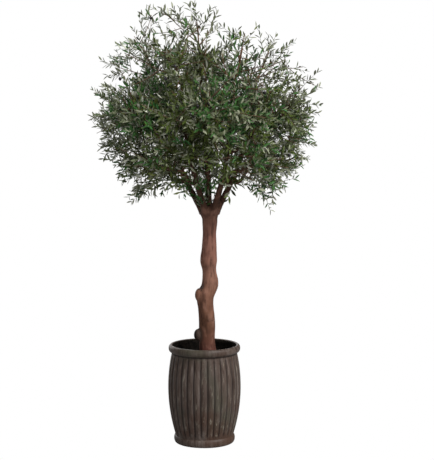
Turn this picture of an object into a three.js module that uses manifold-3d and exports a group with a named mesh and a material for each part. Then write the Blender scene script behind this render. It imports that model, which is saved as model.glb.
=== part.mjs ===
// An olive tree grown as a standard, in a fluted barrel pot. Millimetres, +Z up. The origin is the centre
// of the pot's flat underside, and -Y is the front. The trunk, each bough and each mass of foliage is a mesh
// of its own, 0.3 mm clear of what carries it.
import * as THREE from "three";
import { mergeVertices } from "three/addons/utils/BufferGeometryUtils.js";
import Module from "manifold-3d";

const wasm = await Module();
wasm.setup();

// ---------------------------------------------------------------- driving dimensions
const CLEARANCE = 0.3; // between a piece and what carries it

const POT = {
  height: 541,
  bellyRadius: 200,
  bellyHeight: 305,
  bellyCurve: 893, // radius of the barrel's side, seen from the side
  wall: 14,
  floor: 18,
  footRadius: 157, // where the foot meets the ground
  footBead: 167.5,
  footHeight: 44,
  neck: 497, // where the side meets the rim
  rimCentre: 183.5, // middle of the rolled rim
  rimHalfWidth: 13,
  rimHalfHeight: 20,
  flutes: 32,
  fluteDepth: 6,
  fluteFade: 26, // the height over which a flute dies out at either end
};
const POT_SIDES = 2 * POT.flutes; // one side of each ridge and each groove
const SOIL_DEPTH = 87; // below the rim's top
const SOIL_TOP = POT.height - SOIL_DEPTH;

// The trunk from just below the soil's top, where it is cut flat, to its fork: height, sideways and
// backward offset, radius.
const TRUNK = [
  [SOIL_TOP - 20, 20, 0, 62],
  [SOIL_TOP, 20, 0, 57],
  [500, 19, 2, 47],
  [560, 14, 5, 44],
  [660, 14, 2, 44.5],
  [740, 8, -5, 43],
  [806, 6, -10, 47],
  [870, 30, -2, 46],
  [948, 27, 8, 38.5],
  [1003, 24, 4, 46],
  [1074, 27, -2, 41],
  [1157, 28, 0, 37],
  [1225, 30, 0, 41],
  [1272, 28, 0, 54],
  [1300, 28, 0, 46],
];
const TRUNK_SIDES = 12;
const TRUNK_STEPS = 24;
// Healed pruning burls on the trunk: height, the side they stand out on in degrees from +X, reach from the
// trunk's axis, radius.
const BURLS = [
  [815, 190, 29, 33],
  [592, 186, 46, 28],
  [915, 70, 20, 31],
  [700, 300, 18, 35],
];
const BURL_STRETCH = 1.3; // height over width

const FORK = new THREE.Vector3(28, 0, 1262); // where the boughs leave the trunk
const BOUGH_SIDES = [168, 238, 303, 12, 92]; // of the main boughs round the leader, in degrees from +X
// A main bough: how far from the trunk's axis it is rooted, its radii, and how far it bends out.
const BOUGH = { ring: 34, root: 17.5, tip: 9, bow: 46, steps: 8 };
const ARM = { root: 11.5, tip: 8, bow: 24, steps: 4 }; // a side bough off a main bough
const LEADER = { root: 13, tip: 9, bow: 14, steps: 7 };
const AIM = { out: 94, up: 260 }; // from the fork: the point that a main bough heads out through
const LIMB_SIDES = 6;

// The crown's outline from the front: height, middle, half width.
const CROWN = [
  [1250, 0, 380],
  [1322, 5, 425],
  [1454, 20, 505],
  [1587, 0, 598],
  [1760, 2, 642],
  [1930, 12, 632],
  [2050, 28, 605],
  [2160, -10, 553],
  [2265, -40, 405],
  [2340, -75, 235],
  [2398, -110, 60],
];
const CROWN_AXIS = 15; // the middle line that the foliage faces away from
const UNDERSIDE = { height: 1405, drop: 165, reach: 400 }; // the hollow under the crown, round the trunk

// Rings of foliage masses: height, reach from the axis, turn from each bough towards the next, how far short
// of the mass's middle its bough ends, where on the main bough that bough leaves, and how far its twigs rise
// or droop.
const RINGS = [
  { name: "skirt", height: 1505, reach: 350, turn: 0, entry: 150, leaves: 0.3, rise: -0.5 },
  { name: "side", height: 1785, reach: 400, turn: 0.5, entry: 165, leaves: 0.55, rise: 0.3 },
  { name: "shoulder", height: 2050, reach: 310, turn: 0, entry: 165, leaves: 0, rise: 0.8 },
];
const TOP = { height: 2180, reach: 45, entry: 180, rise: 1.2 };
const MASS_GAP = 4; // between the spaces of two masses
const LIMB_GAP = 5; // between foliage and a limb of the tree
const CLEAR_STEP = 12; // between the points that stand for a limb

const GOLDEN_ANGLE = Math.PI * (3 - Math.sqrt(5));
// The stem of a mass: past is how far it runs on beyond the middle, as a share of its way in.
const STEM = { root: 7, tip: 2.6, past: 0.55, steps: 4, sides: 4 };
const TWIG = {
  count: 7, // off each stem
  first: 0.14, // where they start on it
  span: 0.82, // and the share of it that they cover
  root: 3.6,
  tip: 1.8,
  steps: 2,
  sides: 3,
  longest: 350,
  shortest: 70,
  trial: 14, // how much shorter each next length is
  lowLean: 96, // off the stem, from its foot
  highLean: 24, // to its tip
  bend: 0.5, // how far it turns from its first direction
};
const SPRAY = {
  length: 188,
  shares: [1, 0.8, 0.62],
  width: 62,
  thickness: 5,
  widest: 0.42,
  lean: 47,
  apart: 80,
  pairs: 2,
  gap: 22, // between two blades
  faceRise: 0.45, // how far its face looks up
};
const SUNK = 0.45; // how deep a leaf's root lies in its twig, as a share of the twig's radius
const FRUIT = { radius: 9.5, stretch: 1.25, twig: 1, at: 0.62, fromRise: 0.5 }; // on the sunny masses only

// ---------------------------------------------------------------- small helpers
const UP = new THREE.Vector3(0, 0, 1);

function radians(degrees) {
  return (degrees * Math.PI) / 180;
}

function lerp(a, b, t) {
  return a + (b - a) * t;
}

// A repeatable stream of numbers from 0 to 1.
function seeded(seed) {
  let state = seed;
  return () => {
    state = (state * 48271) % 2147483647;
    return state / 2147483647;
  };
}

// A point at a distance from an axis, on the side given in radians from +X.
function around(centre, reach, side, height) {
  return new THREE.Vector3(centre + reach * Math.cos(side), reach * Math.sin(side), height);
}

function solidOf(geometry) {
  const bare = geometry.clone();
  bare.deleteAttribute("normal");
  bare.deleteAttribute("uv");
  const merged = mergeVertices(bare, 1e-4);
  return new wasm.Manifold(
    new wasm.Mesh({
      numProp: 3,
      vertProperties: merged.attributes.position.array,
      triVerts: new Uint32Array(merged.index.array),
    }),
  );
}

function geometryOf(solid) {
  const mesh = solid.getMesh();
  const geometry = new THREE.BufferGeometry();
  geometry.setAttribute("position", new THREE.BufferAttribute(mesh.vertProperties, 3));
  geometry.setIndex(new THREE.BufferAttribute(mesh.triVerts, 1));
  return geometry;
}

// The largest closed body of a solid, with any sealed hollow or loose scrap dropped.
function mainBody(solid) {
  const bodies = solid.decompose().sort((a, b) => b.volume() - a.volume());
  return bodies[0];
}

// ---------------------------------------------------------------- limbs
// A round limb that tapers along a path, closed at both ends. A grown limb is wider and longer all round.
function limbGeometry(path, radiusAt, steps, sides, grown = 0) {
  const frames = path.computeFrenetFrames(steps, false);
  const positions = [];
  const faces = [];
  for (let i = 0; i <= steps; i++) {
    const centre = path.getPointAt(i / steps);
    if (i === 0) centre.addScaledVector(frames.tangents[0], -grown);
    if (i === steps) centre.addScaledVector(frames.tangents[steps], grown);
    const radius = radiusAt(i / steps) + grown;
    for (let k = 0; k < sides; k++) {
      const angle = (2 * Math.PI * k) / sides;
      const rim = centre
        .clone()
        .addScaledVector(frames.normals[i], radius * Math.cos(angle))
        .addScaledVector(frames.binormals[i], radius * Math.sin(angle));
      positions.push(rim.x, rim.y, rim.z);
      if (i === steps) continue;
      const here = i * sides + k;
      const next = i * sides + ((k + 1) % sides);
      faces.push(here, next, here + sides, next, next + sides, here + sides);
    }
  }
  const last = steps * sides;
  for (let k = 1; k < sides - 1; k++) {
    faces.push(0, k + 1, k);
    faces.push(last, last + k, last + k + 1);
  }
  const geometry = new THREE.BufferGeometry();
  geometry.setAttribute("position", new THREE.Float32BufferAttribute(positions, 3));
  geometry.setIndex(faces);
  return geometry;
}

// A limb as a path, its radius along it, and the straight steps that it is made in.
function limb(name, points, { root, tip, steps }) {
  const path = new THREE.CatmullRomCurve3(points, false, "centripetal");
  return { name, path, radiusAt: (t) => lerp(root, tip, t), steps };
}

// Points along a limb that foliage keeps clear of.
function clearPoints({ path, radiusAt }) {
  const count = Math.ceil(path.getLength() / CLEAR_STEP);
  const points = [];
  for (let i = 0; i <= count; i++) {
    points.push({ centre: path.getPointAt(i / count), radius: radiusAt(i / count) });
  }
  return points;
}

// ---------------------------------------------------------------- pot and soil
function bellyRadiusAt(height) {
  const rise = height - POT.bellyHeight;
  return POT.bellyRadius - POT.bellyCurve + Math.sqrt(POT.bellyCurve ** 2 - rise ** 2);
}

const INNER_HEIGHTS = [POT.floor, 210, SOIL_TOP];

function potProfile() {
  const profile = [new THREE.Vector2(0, 0), new THREE.Vector2(POT.footRadius, 0)];
  const footSwell = POT.footBead - POT.footRadius;
  for (const t of [0.4, 0.75]) {
    profile.push(new THREE.Vector2(POT.footRadius + footSwell * Math.sin(Math.PI * t), POT.footHeight * t));
  }
  const low = POT.footHeight + POT.fluteFade;
  const high = POT.neck - POT.fluteFade;
  const fluted = [0, 1, 2, 3].map((row) => lerp(low, high, row / 3));
  for (const height of [POT.footHeight, ...fluted, POT.neck]) {
    profile.push(new THREE.Vector2(bellyRadiusAt(height), height));
  }
  const rimMiddle = POT.height - POT.rimHalfHeight;
  for (const angle of [-35, 20, 75, 125, 190].map(radians)) {
    const radius = POT.rimCentre + POT.rimHalfWidth * Math.cos(angle);
    profile.push(new THREE.Vector2(radius, rimMiddle + POT.rimHalfHeight * Math.sin(angle)));
  }
  for (const height of [...INNER_HEIGHTS].reverse()) {
    profile.push(new THREE.Vector2(bellyRadiusAt(height) - POT.wall, height));
  }
  profile.push(new THREE.Vector2(0, POT.floor));
  return profile;
}

// How deep the flutes are at a height, from none at the foot and the neck to full depth between.
function fluteShareAt(height) {
  const fromEnd = Math.min(height - POT.footHeight, POT.neck - height);
  return THREE.MathUtils.smoothstep(fromEnd, 0, POT.fluteFade);
}

function potGeometry() {
  const geometry = new THREE.LatheGeometry(potProfile(), POT_SIDES);
  const position = geometry.attributes.position;
  for (let i = 0; i < position.count; i++) {
    const height = position.getY(i);
    const radius = Math.hypot(position.getX(i), position.getZ(i));
    const onWall = Math.abs(radius - bellyRadiusAt(height)) < 0.5;
    const angle = Math.atan2(position.getZ(i), position.getX(i));
    const groove = (1 - Math.cos(POT.flutes * angle)) / 2;
    if (!onWall) continue;
    const scale = 1 - (POT.fluteDepth * fluteShareAt(height) * groove) / radius;
    position.setX(i, position.getX(i) * scale);
    position.setZ(i, position.getZ(i) * scale);
  }
  return geometry.rotateX(Math.PI / 2);
}

function soilGeometry() {
  const profile = [new THREE.Vector2(0, POT.floor + CLEARANCE)];
  for (const height of INNER_HEIGHTS) {
    const seat = height === POT.floor ? height + CLEARANCE : height;
    profile.push(new THREE.Vector2(bellyRadiusAt(height) - POT.wall - 1.5 * CLEARANCE, seat));
  }
  profile.push(new THREE.Vector2(0, SOIL_TOP));
  return new THREE.LatheGeometry(profile, POT_SIDES).rotateX(Math.PI / 2);
}

// ---------------------------------------------------------------- trunk
const trunkPath = new THREE.CatmullRomCurve3(
  TRUNK.map(([height, x, y]) => new THREE.Vector3(x, y, height)),
  false,
  "centripetal",
);

function trunkRadiusAt(t) {
  const height = trunkPath.getPointAt(t).z;
  const above = Math.max(1, TRUNK.findIndex(([h]) => h >= height - 1e-6));
  const [low, , , lowRadius] = TRUNK[above - 1];
  const [high, , , highRadius] = TRUNK[above];
  const share = THREE.MathUtils.clamp((height - low) / (high - low), 0, 1);
  return lerp(lowRadius, highRadius, THREE.MathUtils.smoothstep(share, 0, 1));
}

function trunkAxisAt(height) {
  const above = Math.max(1, TRUNK.findIndex(([h]) => h >= height));
  const share = (height - TRUNK[above - 1][0]) / (TRUNK[above][0] - TRUNK[above - 1][0]);
  return [1, 2].map((column) => lerp(TRUNK[above - 1][column], TRUNK[above][column], share));
}

function trunkSolid(grown = 0) {
  let solid = solidOf(limbGeometry(trunkPath, trunkRadiusAt, TRUNK_STEPS, TRUNK_SIDES, grown));
  for (const [height, side, reach, radius] of BURLS) {
    const [x, y] = trunkAxisAt(height);
    const burl = new THREE.IcosahedronGeometry(radius + grown, 1);
    burl.scale(1, 1, BURL_STRETCH);
    burl.translate(x + reach * Math.cos(radians(side)), y + reach * Math.sin(radians(side)), height);
    solid = solid.add(solidOf(burl));
  }
  const ground = new THREE.BoxGeometry(POT.bellyRadius, POT.bellyRadius, SOIL_TOP);
  ground.translate(0, 0, SOIL_TOP / 2 + CLEARANCE - grown);
  return mainBody(solid.subtract(solidOf(ground)));
}

// ---------------------------------------------------------------- boughs
// The points of a path from root to tip that bends away from a straight line.
function bentPath(root, tip, bow, away) {
  return [0, 1 / 3, 2 / 3, 1].map((t) => {
    const point = root.clone().lerp(tip, t);
    return point.addScaledVector(away, bow * Math.sin(Math.PI * t));
  });
}

// The turn from one main bough to the next, in degrees.
function sideStep(k) {
  const next = BOUGH_SIDES[(k + 1) % BOUGH_SIDES.length];
  return (next - BOUGH_SIDES[k] + 360) % 360;
}

// Each ring's masses, with the middle that each grows round.
const masses = [];
for (const ring of RINGS) {
  for (let k = 0; k < BOUGH_SIDES.length; k++) {
    const side = radians(BOUGH_SIDES[k] + ring.turn * sideStep(k));
    masses.push({
      name: `${ring.name}_foliage_${k + 1}`,
      ring,
      bough: k,
      middle: around(CROWN_AXIS, ring.reach, side, ring.height),
    });
  }
}
const topMass = {
  name: "top_foliage",
  ring: TOP,
  bough: -1,
  middle: around(CROWN_AXIS, TOP.reach, Math.PI, TOP.height),
};
masses.push(topMass);
masses.forEach((mass, index) => {
  mass.seed = 7001 + 131 * index;
});

// Where a limb that comes from a point ends as it enters a mass.
function entryPoint(from, mass) {
  const back = from.clone().sub(mass.middle).normalize();
  return mass.middle.clone().addScaledVector(back, mass.ring.entry);
}

const limbs = [];
for (let k = 0; k < BOUGH_SIDES.length; k++) {
  const side = radians(BOUGH_SIDES[k]);
  const root = around(FORK.x, BOUGH.ring, side, FORK.z);
  const away = around(0, 1, side, 0);
  const shoulder = masses.find((m) => m.bough === k && m.ring === RINGS[2]);
  const aim = around(FORK.x, AIM.out, side, FORK.z + AIM.up);
  const points = bentPath(root, entryPoint(aim, shoulder), BOUGH.bow, away);
  const main = limb(`bough_${k + 1}`, points, BOUGH);
  main.mass = shoulder;
  limbs.push(main);
  for (const ring of RINGS.slice(0, 2)) {
    const mass = masses.find((m) => m.bough === k && m.ring === ring);
    const start = main.path.getPointAt(ring.leaves);
    const armPoints = bentPath(start, entryPoint(start, mass), ARM.bow, UP.clone().negate());
    const arm = limb(`${ring.name}_bough_${k + 1}`, armPoints, ARM);
    arm.mass = mass;
    arm.parent = main;
    limbs.push(arm);
  }
}
const leaderPoints = bentPath(FORK, entryPoint(FORK, topMass), LEADER.bow, new THREE.Vector3(0, 1, 0));
const leader = limb("leader", leaderPoints, LEADER);
leader.mass = topMass;
limbs.push(leader);
for (const one of limbs) one.mass.limb = one;

function limbSolid(one, grown = 0) {
  return solidOf(limbGeometry(one.path, one.radiusAt, one.steps, LIMB_SIDES, grown));
}

// ---------------------------------------------------------------- the crown's spaces
const limbPoints = [{ path: trunkPath, radiusAt: trunkRadiusAt }, ...limbs].flatMap(clearPoints);

function crownAt(height) {
  const above = CROWN.findIndex(([h]) => h >= height);
  if (above < 1) return null;
  const [low, lowMiddle, lowHalf] = CROWN[above - 1];
  const [high, highMiddle, highHalf] = CROWN[above];
  const share = (height - low) / (high - low);
  return { middle: lerp(lowMiddle, highMiddle, share), half: lerp(lowHalf, highHalf, share) };
}

function undersideAt(reach) {
  return UNDERSIDE.height - UNDERSIDE.drop * Math.min(1, reach / UNDERSIDE.reach);
}

// True if a point lies in a mass's own space, at least margin inside it.
function inSpace(mass, point, margin) {
  const crown = crownAt(point.z);
  if (!crown) return false;
  const reach = Math.hypot(point.x - crown.middle, point.y);
  if (reach > crown.half - margin) return false;
  if (point.z < undersideAt(Math.hypot(point.x - CROWN_AXIS, point.y)) + margin) return false;
  for (const other of masses) {
    if (other === mass) continue;
    const between = other.middle.distanceTo(mass.middle);
    const nearer = point.distanceToSquared(other.middle) - point.distanceToSquared(mass.middle);
    if (nearer / (2 * between) < MASS_GAP / 2 + margin) return false;
  }
  return true;
}

// True if a straight stretch stays clear of every limb of the tree.
function clearOfLimbs(from, to, margin) {
  const stretch = new THREE.Line3(from, to);
  const nearest = new THREE.Vector3();
  return limbPoints.every(({ centre, radius }) => {
    stretch.closestPointToPoint(centre, true, nearest);
    return nearest.distanceTo(centre) > radius + LIMB_GAP + margin;
  });
}

// ---------------------------------------------------------------- the rule that a mass grows by
function turned(direction, lean, spin) {
  const helper = Math.abs(direction.z) < 0.9 ? UP : new THREE.Vector3(1, 0, 0);
  const across = helper.clone().cross(direction).normalize();
  const other = direction.clone().cross(across);
  return direction
    .clone()
    .multiplyScalar(Math.cos(lean))
    .addScaledVector(across, Math.sin(lean) * Math.cos(spin))
    .addScaledVector(other, Math.sin(lean) * Math.sin(spin))
    .normalize();
}

function stemPath(mass) {
  const bough = mass.limb.path;
  const tangent = bough.getTangentAt(1);
  const root = bough.getPointAt(1).addScaledVector(tangent, CLEARANCE);
  const onward = mass.middle.clone().sub(root);
  const far = mass.middle.clone().addScaledVector(onward, STEM.past);
  const leaving = root.clone().addScaledVector(tangent, mass.ring.entry / 4);
  return new THREE.CatmullRomCurve3([root, leaving, mass.middle.clone(), far], false, "centripetal");
}

// The way out of the crown at a point, as much up or down as rise says.
function outwardAt(point, rise) {
  const level = new THREE.Vector3(point.x - CROWN_AXIS, point.y, 0).normalize();
  return level.addScaledVector(UP, rise).normalize();
}

// A twig bends from the way that it leaves its stem towards the crown's outside.
function twigPath(root, leaving, length, rise) {
  const arriving = leaving.clone().addScaledVector(outwardAt(root, rise), TWIG.bend).normalize();
  const bend = root.clone().addScaledVector(leaving, length / 2);
  return new THREE.QuadraticBezierCurve3(root, bend, bend.clone().addScaledVector(arriving, length / 2));
}

// The longest twig that keeps to the mass's space, with room for the spray at its tip, clear of the limbs.
function longestTwig(mass, root, leaving) {
  const tipRoom = SPRAY.length * SPRAY.shares[SPRAY.shares.length - 1];
  for (let length = TWIG.longest; length >= TWIG.shortest; length -= TWIG.trial) {
    const path = twigPath(root, leaving, length, mass.ring.rise);
    const joints = [0, 0.5, 1].map((share) => path.getPointAt(share));
    const sprayTip = joints[2].clone().addScaledVector(path.getTangentAt(1), tipRoom);
    const along = [0.25, 0.5, 0.75, 1].map((share) => axisAt(path, TWIG.steps, share));
    const inside = [...along, sprayTip].every((point) => inSpace(mass, point, TWIG.root));
    const free = [1, 2].every((i) => clearOfLimbs(joints[i - 1], joints[i], TWIG.root));
    if (inside && free) return path;
  }
  return null;
}

// The middle of a limb that is made in straight steps, at a share of its length.
function axisAt(path, steps, share) {
  const step = Math.min(Math.floor(share * steps), steps - 1);
  return path.getPointAt(step / steps).lerp(path.getPointAt((step + 1) / steps), share * steps - step);
}

// The sprays on a twig: one at its tip, then pairs towards its root, each a quarter turn from the last.
function spraysOn(path, steps, random) {
  const sprays = [{ root: axisAt(path, steps, 0.98), along: path.getTangentAt(1) }];
  const spin = 2 * Math.PI * random();
  for (let pair = 0; pair < SPRAY.pairs; pair++) {
    const at = 1 - ((pair + 0.55) * SPRAY.apart) / path.getLength();
    if (at < 0.12) break;
    for (const half of [0, 1]) {
      const lean = radians(SPRAY.lean + 14 * (random() - 0.5));
      const along = turned(path.getTangentAt(at), lean, spin + Math.PI * (half + pair / 2));
      sprays.push({ root: axisAt(path, steps, at), along });
    }
  }
  return sprays;
}

// A spray's blade turns its face out of the crown and to the light.
function blade(spray, length) {
  const across = spray.along.clone().cross(outwardAt(spray.root, SPRAY.faceRise)).normalize();
  const face = across.clone().cross(spray.along).normalize();
  const point = (along, aside, above) =>
    spray.root
      .clone()
      .addScaledVector(spray.along, along * length)
      .addScaledVector(across, (aside * SPRAY.width) / 2)
      .addScaledVector(face, (above * SPRAY.thickness) / 2);
  return [
    spray.root.clone().addScaledVector(spray.along, -SUNK * TWIG.tip),
    point(1, 0, 0),
    point(SPRAY.widest, 1, -1),
    point(SPRAY.widest, -1, -1),
    point(SPRAY.widest, 0, 1),
  ];
}

const BLADE_FACES = [0, 2, 4, 0, 4, 3, 0, 3, 2, 1, 4, 2, 1, 3, 4, 1, 2, 3];

// Points along a blade's middle and edges, past its root.
function bladePoints([root, tip, left, right]) {
  const middle = [0.3, 0.5, 0.75, 1].map((share) => root.clone().lerp(tip, share));
  const edges = [left, right].flatMap((edge) => {
    return [edge, root.clone().lerp(edge, 0.6), tip.clone().lerp(edge, 0.5)];
  });
  return [...middle, ...edges];
}

function bladeGeometry(corners) {
  const geometry = new THREE.BufferGeometry();
  const positions = corners.flatMap((corner) => corner.toArray());
  geometry.setAttribute("position", new THREE.Float32BufferAttribute(positions, 3));
  geometry.setIndex(BLADE_FACES);
  return geometry;
}

// A fruit that hangs from a twig, if there is room for it.
function fruitOn(mass, twig) {
  const down = twig.getTangentAt(FRUIT.at).addScaledVector(UP, -1.2).normalize();
  const reach = FRUIT.radius * FRUIT.stretch;
  const centre = axisAt(twig, TWIG.steps, FRUIT.at).addScaledVector(down, 0.85 * reach);
  if (!inSpace(mass, centre, reach) || !clearOfLimbs(centre, centre, reach)) return [];
  const fruit = new THREE.IcosahedronGeometry(FRUIT.radius, 0).scale(1, 1, FRUIT.stretch);
  fruit.applyQuaternion(new THREE.Quaternion().setFromUnitVectors(UP, down));
  return [fruit.translate(centre.x, centre.y, centre.z)];
}

function growMass(mass) {
  const random = seeded(mass.seed);
  const stem = stemPath(mass);
  const stemRadiusAt = (t) => lerp(STEM.root, STEM.tip, t);
  const pieces = [limbGeometry(stem, stemRadiusAt, STEM.steps, STEM.sides)];
  const sprays = spraysOn(stem, STEM.steps, random);
  for (let i = 0; i < TWIG.count; i++) {
    const at = TWIG.first + (TWIG.span * (i + random())) / TWIG.count;
    const spin = i * GOLDEN_ANGLE + random();
    const lean = radians(lerp(TWIG.lowLean, TWIG.highLean, at));
    const leaving = turned(stem.getTangentAt(at), lean, spin);
    const path = longestTwig(mass, axisAt(stem, STEM.steps, at), leaving);
    if (!path) continue;
    pieces.push(limbGeometry(path, (t) => lerp(TWIG.root, TWIG.tip, t), TWIG.steps, TWIG.sides));
    sprays.push(...spraysOn(path, TWIG.steps, random));
    if (i === FRUIT.twig && mass.ring.rise > FRUIT.fromRise) pieces.push(...fruitOn(mass, path));
  }
  const taken = [];
  for (const spray of sprays) {
    for (const share of SPRAY.shares) {
      const corners = blade(spray, share * SPRAY.length);
      const points = bladePoints(corners);
      const free = points.every((point) => taken.every((other) => point.distanceTo(other) > SPRAY.gap));
      const inside = points.every((point) => inSpace(mass, point, 0));
      const [root, tip, left, right] = corners;
      const clear = [left, tip, right].every((corner) => clearOfLimbs(root, corner, 0));
      if (!free || !inside || !clear) continue;
      pieces.push(bladeGeometry(corners));
      taken.push(...points);
      break;
    }
  }
  return mainBody(wasm.Manifold.union(pieces.map(solidOf)));
}

// ---------------------------------------------------------------- materials and assembly
const FINISH = {
  glaze: new THREE.MeshStandardMaterial({ color: 0x4a433e, roughness: 0.45, metalness: 0.1 }),
  soil: new THREE.MeshStandardMaterial({ color: 0x1e1712, roughness: 0.95, metalness: 0 }),
  bark: new THREE.MeshStandardMaterial({ color: 0x6b4a3f, roughness: 0.85, metalness: 0 }),
  leaf: new THREE.MeshStandardMaterial({ color: 0x42502f, roughness: 0.6, metalness: 0 }),
};

const tree = new THREE.Group();

function place(name, geometry, finish) {
  const mesh = new THREE.Mesh(geometry, finish);
  mesh.name = name;
  tree.add(mesh);
}

place("pot", potGeometry(), FINISH.glaze);
place("soil", soilGeometry(), FINISH.soil);
place("trunk", geometryOf(trunkSolid()), FINISH.bark);

const grownTrunk = trunkSolid(CLEARANCE);
for (const one of limbs) {
  let solid = limbSolid(one);
  solid = solid.subtract(one.parent ? limbSolid(one.parent, CLEARANCE) : grownTrunk);
  place(one.name, geometryOf(mainBody(solid)), FINISH.bark);
}
for (const mass of masses) {
  place(mass.name, geometryOf(growMass(mass)), FINISH.leaf);
}

export default tree;
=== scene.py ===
"""A standard olive tree in a fluted barrel pot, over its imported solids. Metres, +Z up, -Y to the front."""

import math
from types import SimpleNamespace

import bmesh
import bpy
import numpy as np
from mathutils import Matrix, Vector, noise


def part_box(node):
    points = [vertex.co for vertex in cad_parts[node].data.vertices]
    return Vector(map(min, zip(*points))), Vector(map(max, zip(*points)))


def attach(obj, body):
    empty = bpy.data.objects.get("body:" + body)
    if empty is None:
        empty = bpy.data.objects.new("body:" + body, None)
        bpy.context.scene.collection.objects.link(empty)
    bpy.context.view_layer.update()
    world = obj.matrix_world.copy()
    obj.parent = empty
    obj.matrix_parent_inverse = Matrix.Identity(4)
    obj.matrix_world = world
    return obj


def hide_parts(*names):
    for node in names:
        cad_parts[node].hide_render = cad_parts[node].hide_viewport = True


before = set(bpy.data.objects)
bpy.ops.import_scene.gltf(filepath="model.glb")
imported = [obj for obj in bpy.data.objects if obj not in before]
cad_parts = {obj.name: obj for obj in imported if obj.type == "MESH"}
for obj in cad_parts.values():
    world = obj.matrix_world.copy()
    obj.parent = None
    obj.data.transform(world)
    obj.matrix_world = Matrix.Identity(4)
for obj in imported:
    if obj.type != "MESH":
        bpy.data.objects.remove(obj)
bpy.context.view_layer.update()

# ---------------------------------------------------------------- the pot, from its solid's box
POT_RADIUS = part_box("pot")[1].x
POT_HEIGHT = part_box("pot")[1].z
SOIL_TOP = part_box("soil")[1].z
POT = SimpleNamespace(
    belly_height=0.305,
    belly_curve=0.893,  # radius of the barrel's side, seen from the side
    wall=0.014,
    floor=0.018,
    foot_radius=0.157,  # where the foot meets the ground
    foot_bead=0.1675,
    foot_height=0.044,
    neck=0.497,  # where the side meets the rim
    rim_centre=0.1835,  # middle of the rolled rim
    rim_half_width=0.013,
    rim_half_height=0.020,
    rim_points=20,
    glazed_points=13,  # how many of them the glaze reaches over
    ribs=32,
    rib_depth=0.0065,
    rib_fade=0.020,  # the height over which a rib dies out at either end
    sides_per_rib=14,
    shadow=0.012,  # the height of the painted shadow band under the rim
)
SOIL = SimpleNamespace(
    sides=120,
    rounds=33,  # from the wall to the middle
    slack=0.0005,  # to the pot's wall
    under=0.0003,  # to its floor
    edge=0.002,  # how much lower the top is at the wall
    top=0.003,
    crumb=0.006,
    fine_crumb=0.003,
    crumbs=45,  # how many there are to the metre
    finer=2.7,
)

# ---------------------------------------------------------------- the trunk and its limbs
# The trunk's axis from just below the soil to the fork: height, sideways and backward offset, radius.
TRUNK = np.array(
    [
        (0.434, 0.020, 0.000, 0.062),
        (0.454, 0.020, 0.000, 0.057),
        (0.500, 0.019, 0.002, 0.047),
        (0.560, 0.014, 0.005, 0.044),
        (0.660, 0.014, 0.002, 0.0445),
        (0.740, 0.008, -0.005, 0.043),
        (0.806, 0.006, -0.010, 0.047),
        (0.870, 0.030, -0.002, 0.046),
        (0.948, 0.027, 0.008, 0.0385),
        (1.003, 0.024, 0.004, 0.046),
        (1.074, 0.027, -0.002, 0.041),
        (1.157, 0.028, 0.000, 0.037),
        (1.225, 0.030, 0.000, 0.041),
        (1.272, 0.028, 0.000, 0.054),
        (1.300, 0.028, 0.000, 0.046),
    ]
)
# Healed burls, and a sawn branch that has healed to a knob: height, the side that they stand out on in
# degrees from +X, reach from the axis, radius.
BURLS = [(0.815, 190, 0.029, 0.033), (0.915, 70, 0.020, 0.031), (0.700, 300, 0.018, 0.035)]
STUB = (0.592, 186, 0.046, 0.026)
BURL_STRETCH = 1.3
STUB_END = SimpleNamespace(black=1.5, fade=1.1, grey=2.6)  # how far round the sawn end the painted shade reaches and fades, and the grey wood reaches, in radii
# Hollows in the bark: height, side in degrees, depth, radius.
HOLLOWS = [(0.854, 200, 0.010, 0.030), (0.958, 250, 0.0025, 0.026), (0.640, 245, 0.002, 0.034)]
HOLLOW_SQUEEZE = 0.7  # their breadth as a share of their height

FORK = np.array([0.028, 0.0, 1.262])
BOUGH_SIDES = [168, 238, 303, 12, 92]
BOUGH = SimpleNamespace(ring=0.034, root=0.0175, tip=0.009, bow=0.046)
ARM = SimpleNamespace(root=0.0115, tip=0.008, bow=0.024)
LEADER = SimpleNamespace(root=0.013, tip=0.009, bow=0.014)
AIM = SimpleNamespace(out=0.094, up=0.260)  # from the fork: the point that a main bough heads out through

# The tubes that the trunk and the limbs start as.
TUBE = SimpleNamespace(joints=90, sides=28, limb_joints=26, limb_sides=12)
BARK = SimpleNamespace(
    voxel=0.0032,
    ridge=0.0022,  # height of the long ridges
    ridges=(44, 44, 7),  # how many there are to the metre, across and along
    grain=0.0007,
    grains=(150, 150, 26),
    twist=2.2,  # radians to the metre
    bough_share=0.45,  # how deep the relief is on the boughs
    bough_from=1.22,  # the height where the boughs begin
    bough_blend=0.16,
    flare=0.45,  # how much a limb swells where it leaves another
    flare_length=0.035,
    smoothing=4,  # passes over the wood before it is carved
    shade_darkness=0.9,  # how dark the painted shade in the deepest hollow and on the sawn end is
    deepest=0.011,
    soil_line=0.001,  # the relief begins so far above the soil
    soil_blend=0.004,
)

# ---------------------------------------------------------------- the crown
# Its outline from the front: height, middle, half width.
CROWN = np.array(
    [
        (1.250, 0.000, 0.380),
        (1.322, 0.005, 0.425),
        (1.454, 0.020, 0.505),
        (1.587, 0.000, 0.598),
        (1.760, 0.002, 0.642),
        (1.930, 0.012, 0.632),
        (2.050, 0.028, 0.605),
        (2.160, -0.010, 0.553),
        (2.265, -0.040, 0.405),
        (2.340, -0.075, 0.235),
        (2.398, -0.110, 0.060),
    ]
)
# The same for the finer growth at its top, which leans to the left.
LEAFY_TOP = np.array(
    [
        (2.130, 0.000, 0.600),
        (2.165, -0.030, 0.520),
        (2.210, -0.015, 0.460),
        (2.255, -0.050, 0.400),
        (2.300, -0.100, 0.350),
        (2.350, -0.190, 0.220),
        (2.385, -0.230, 0.100),
        (2.400, -0.230, 0.000),
    ]
)
CROWN_AXIS = 0.015
UNDERSIDE = SimpleNamespace(height=1.405, drop=0.165, reach=0.400)  # the hollow round the fork
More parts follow.
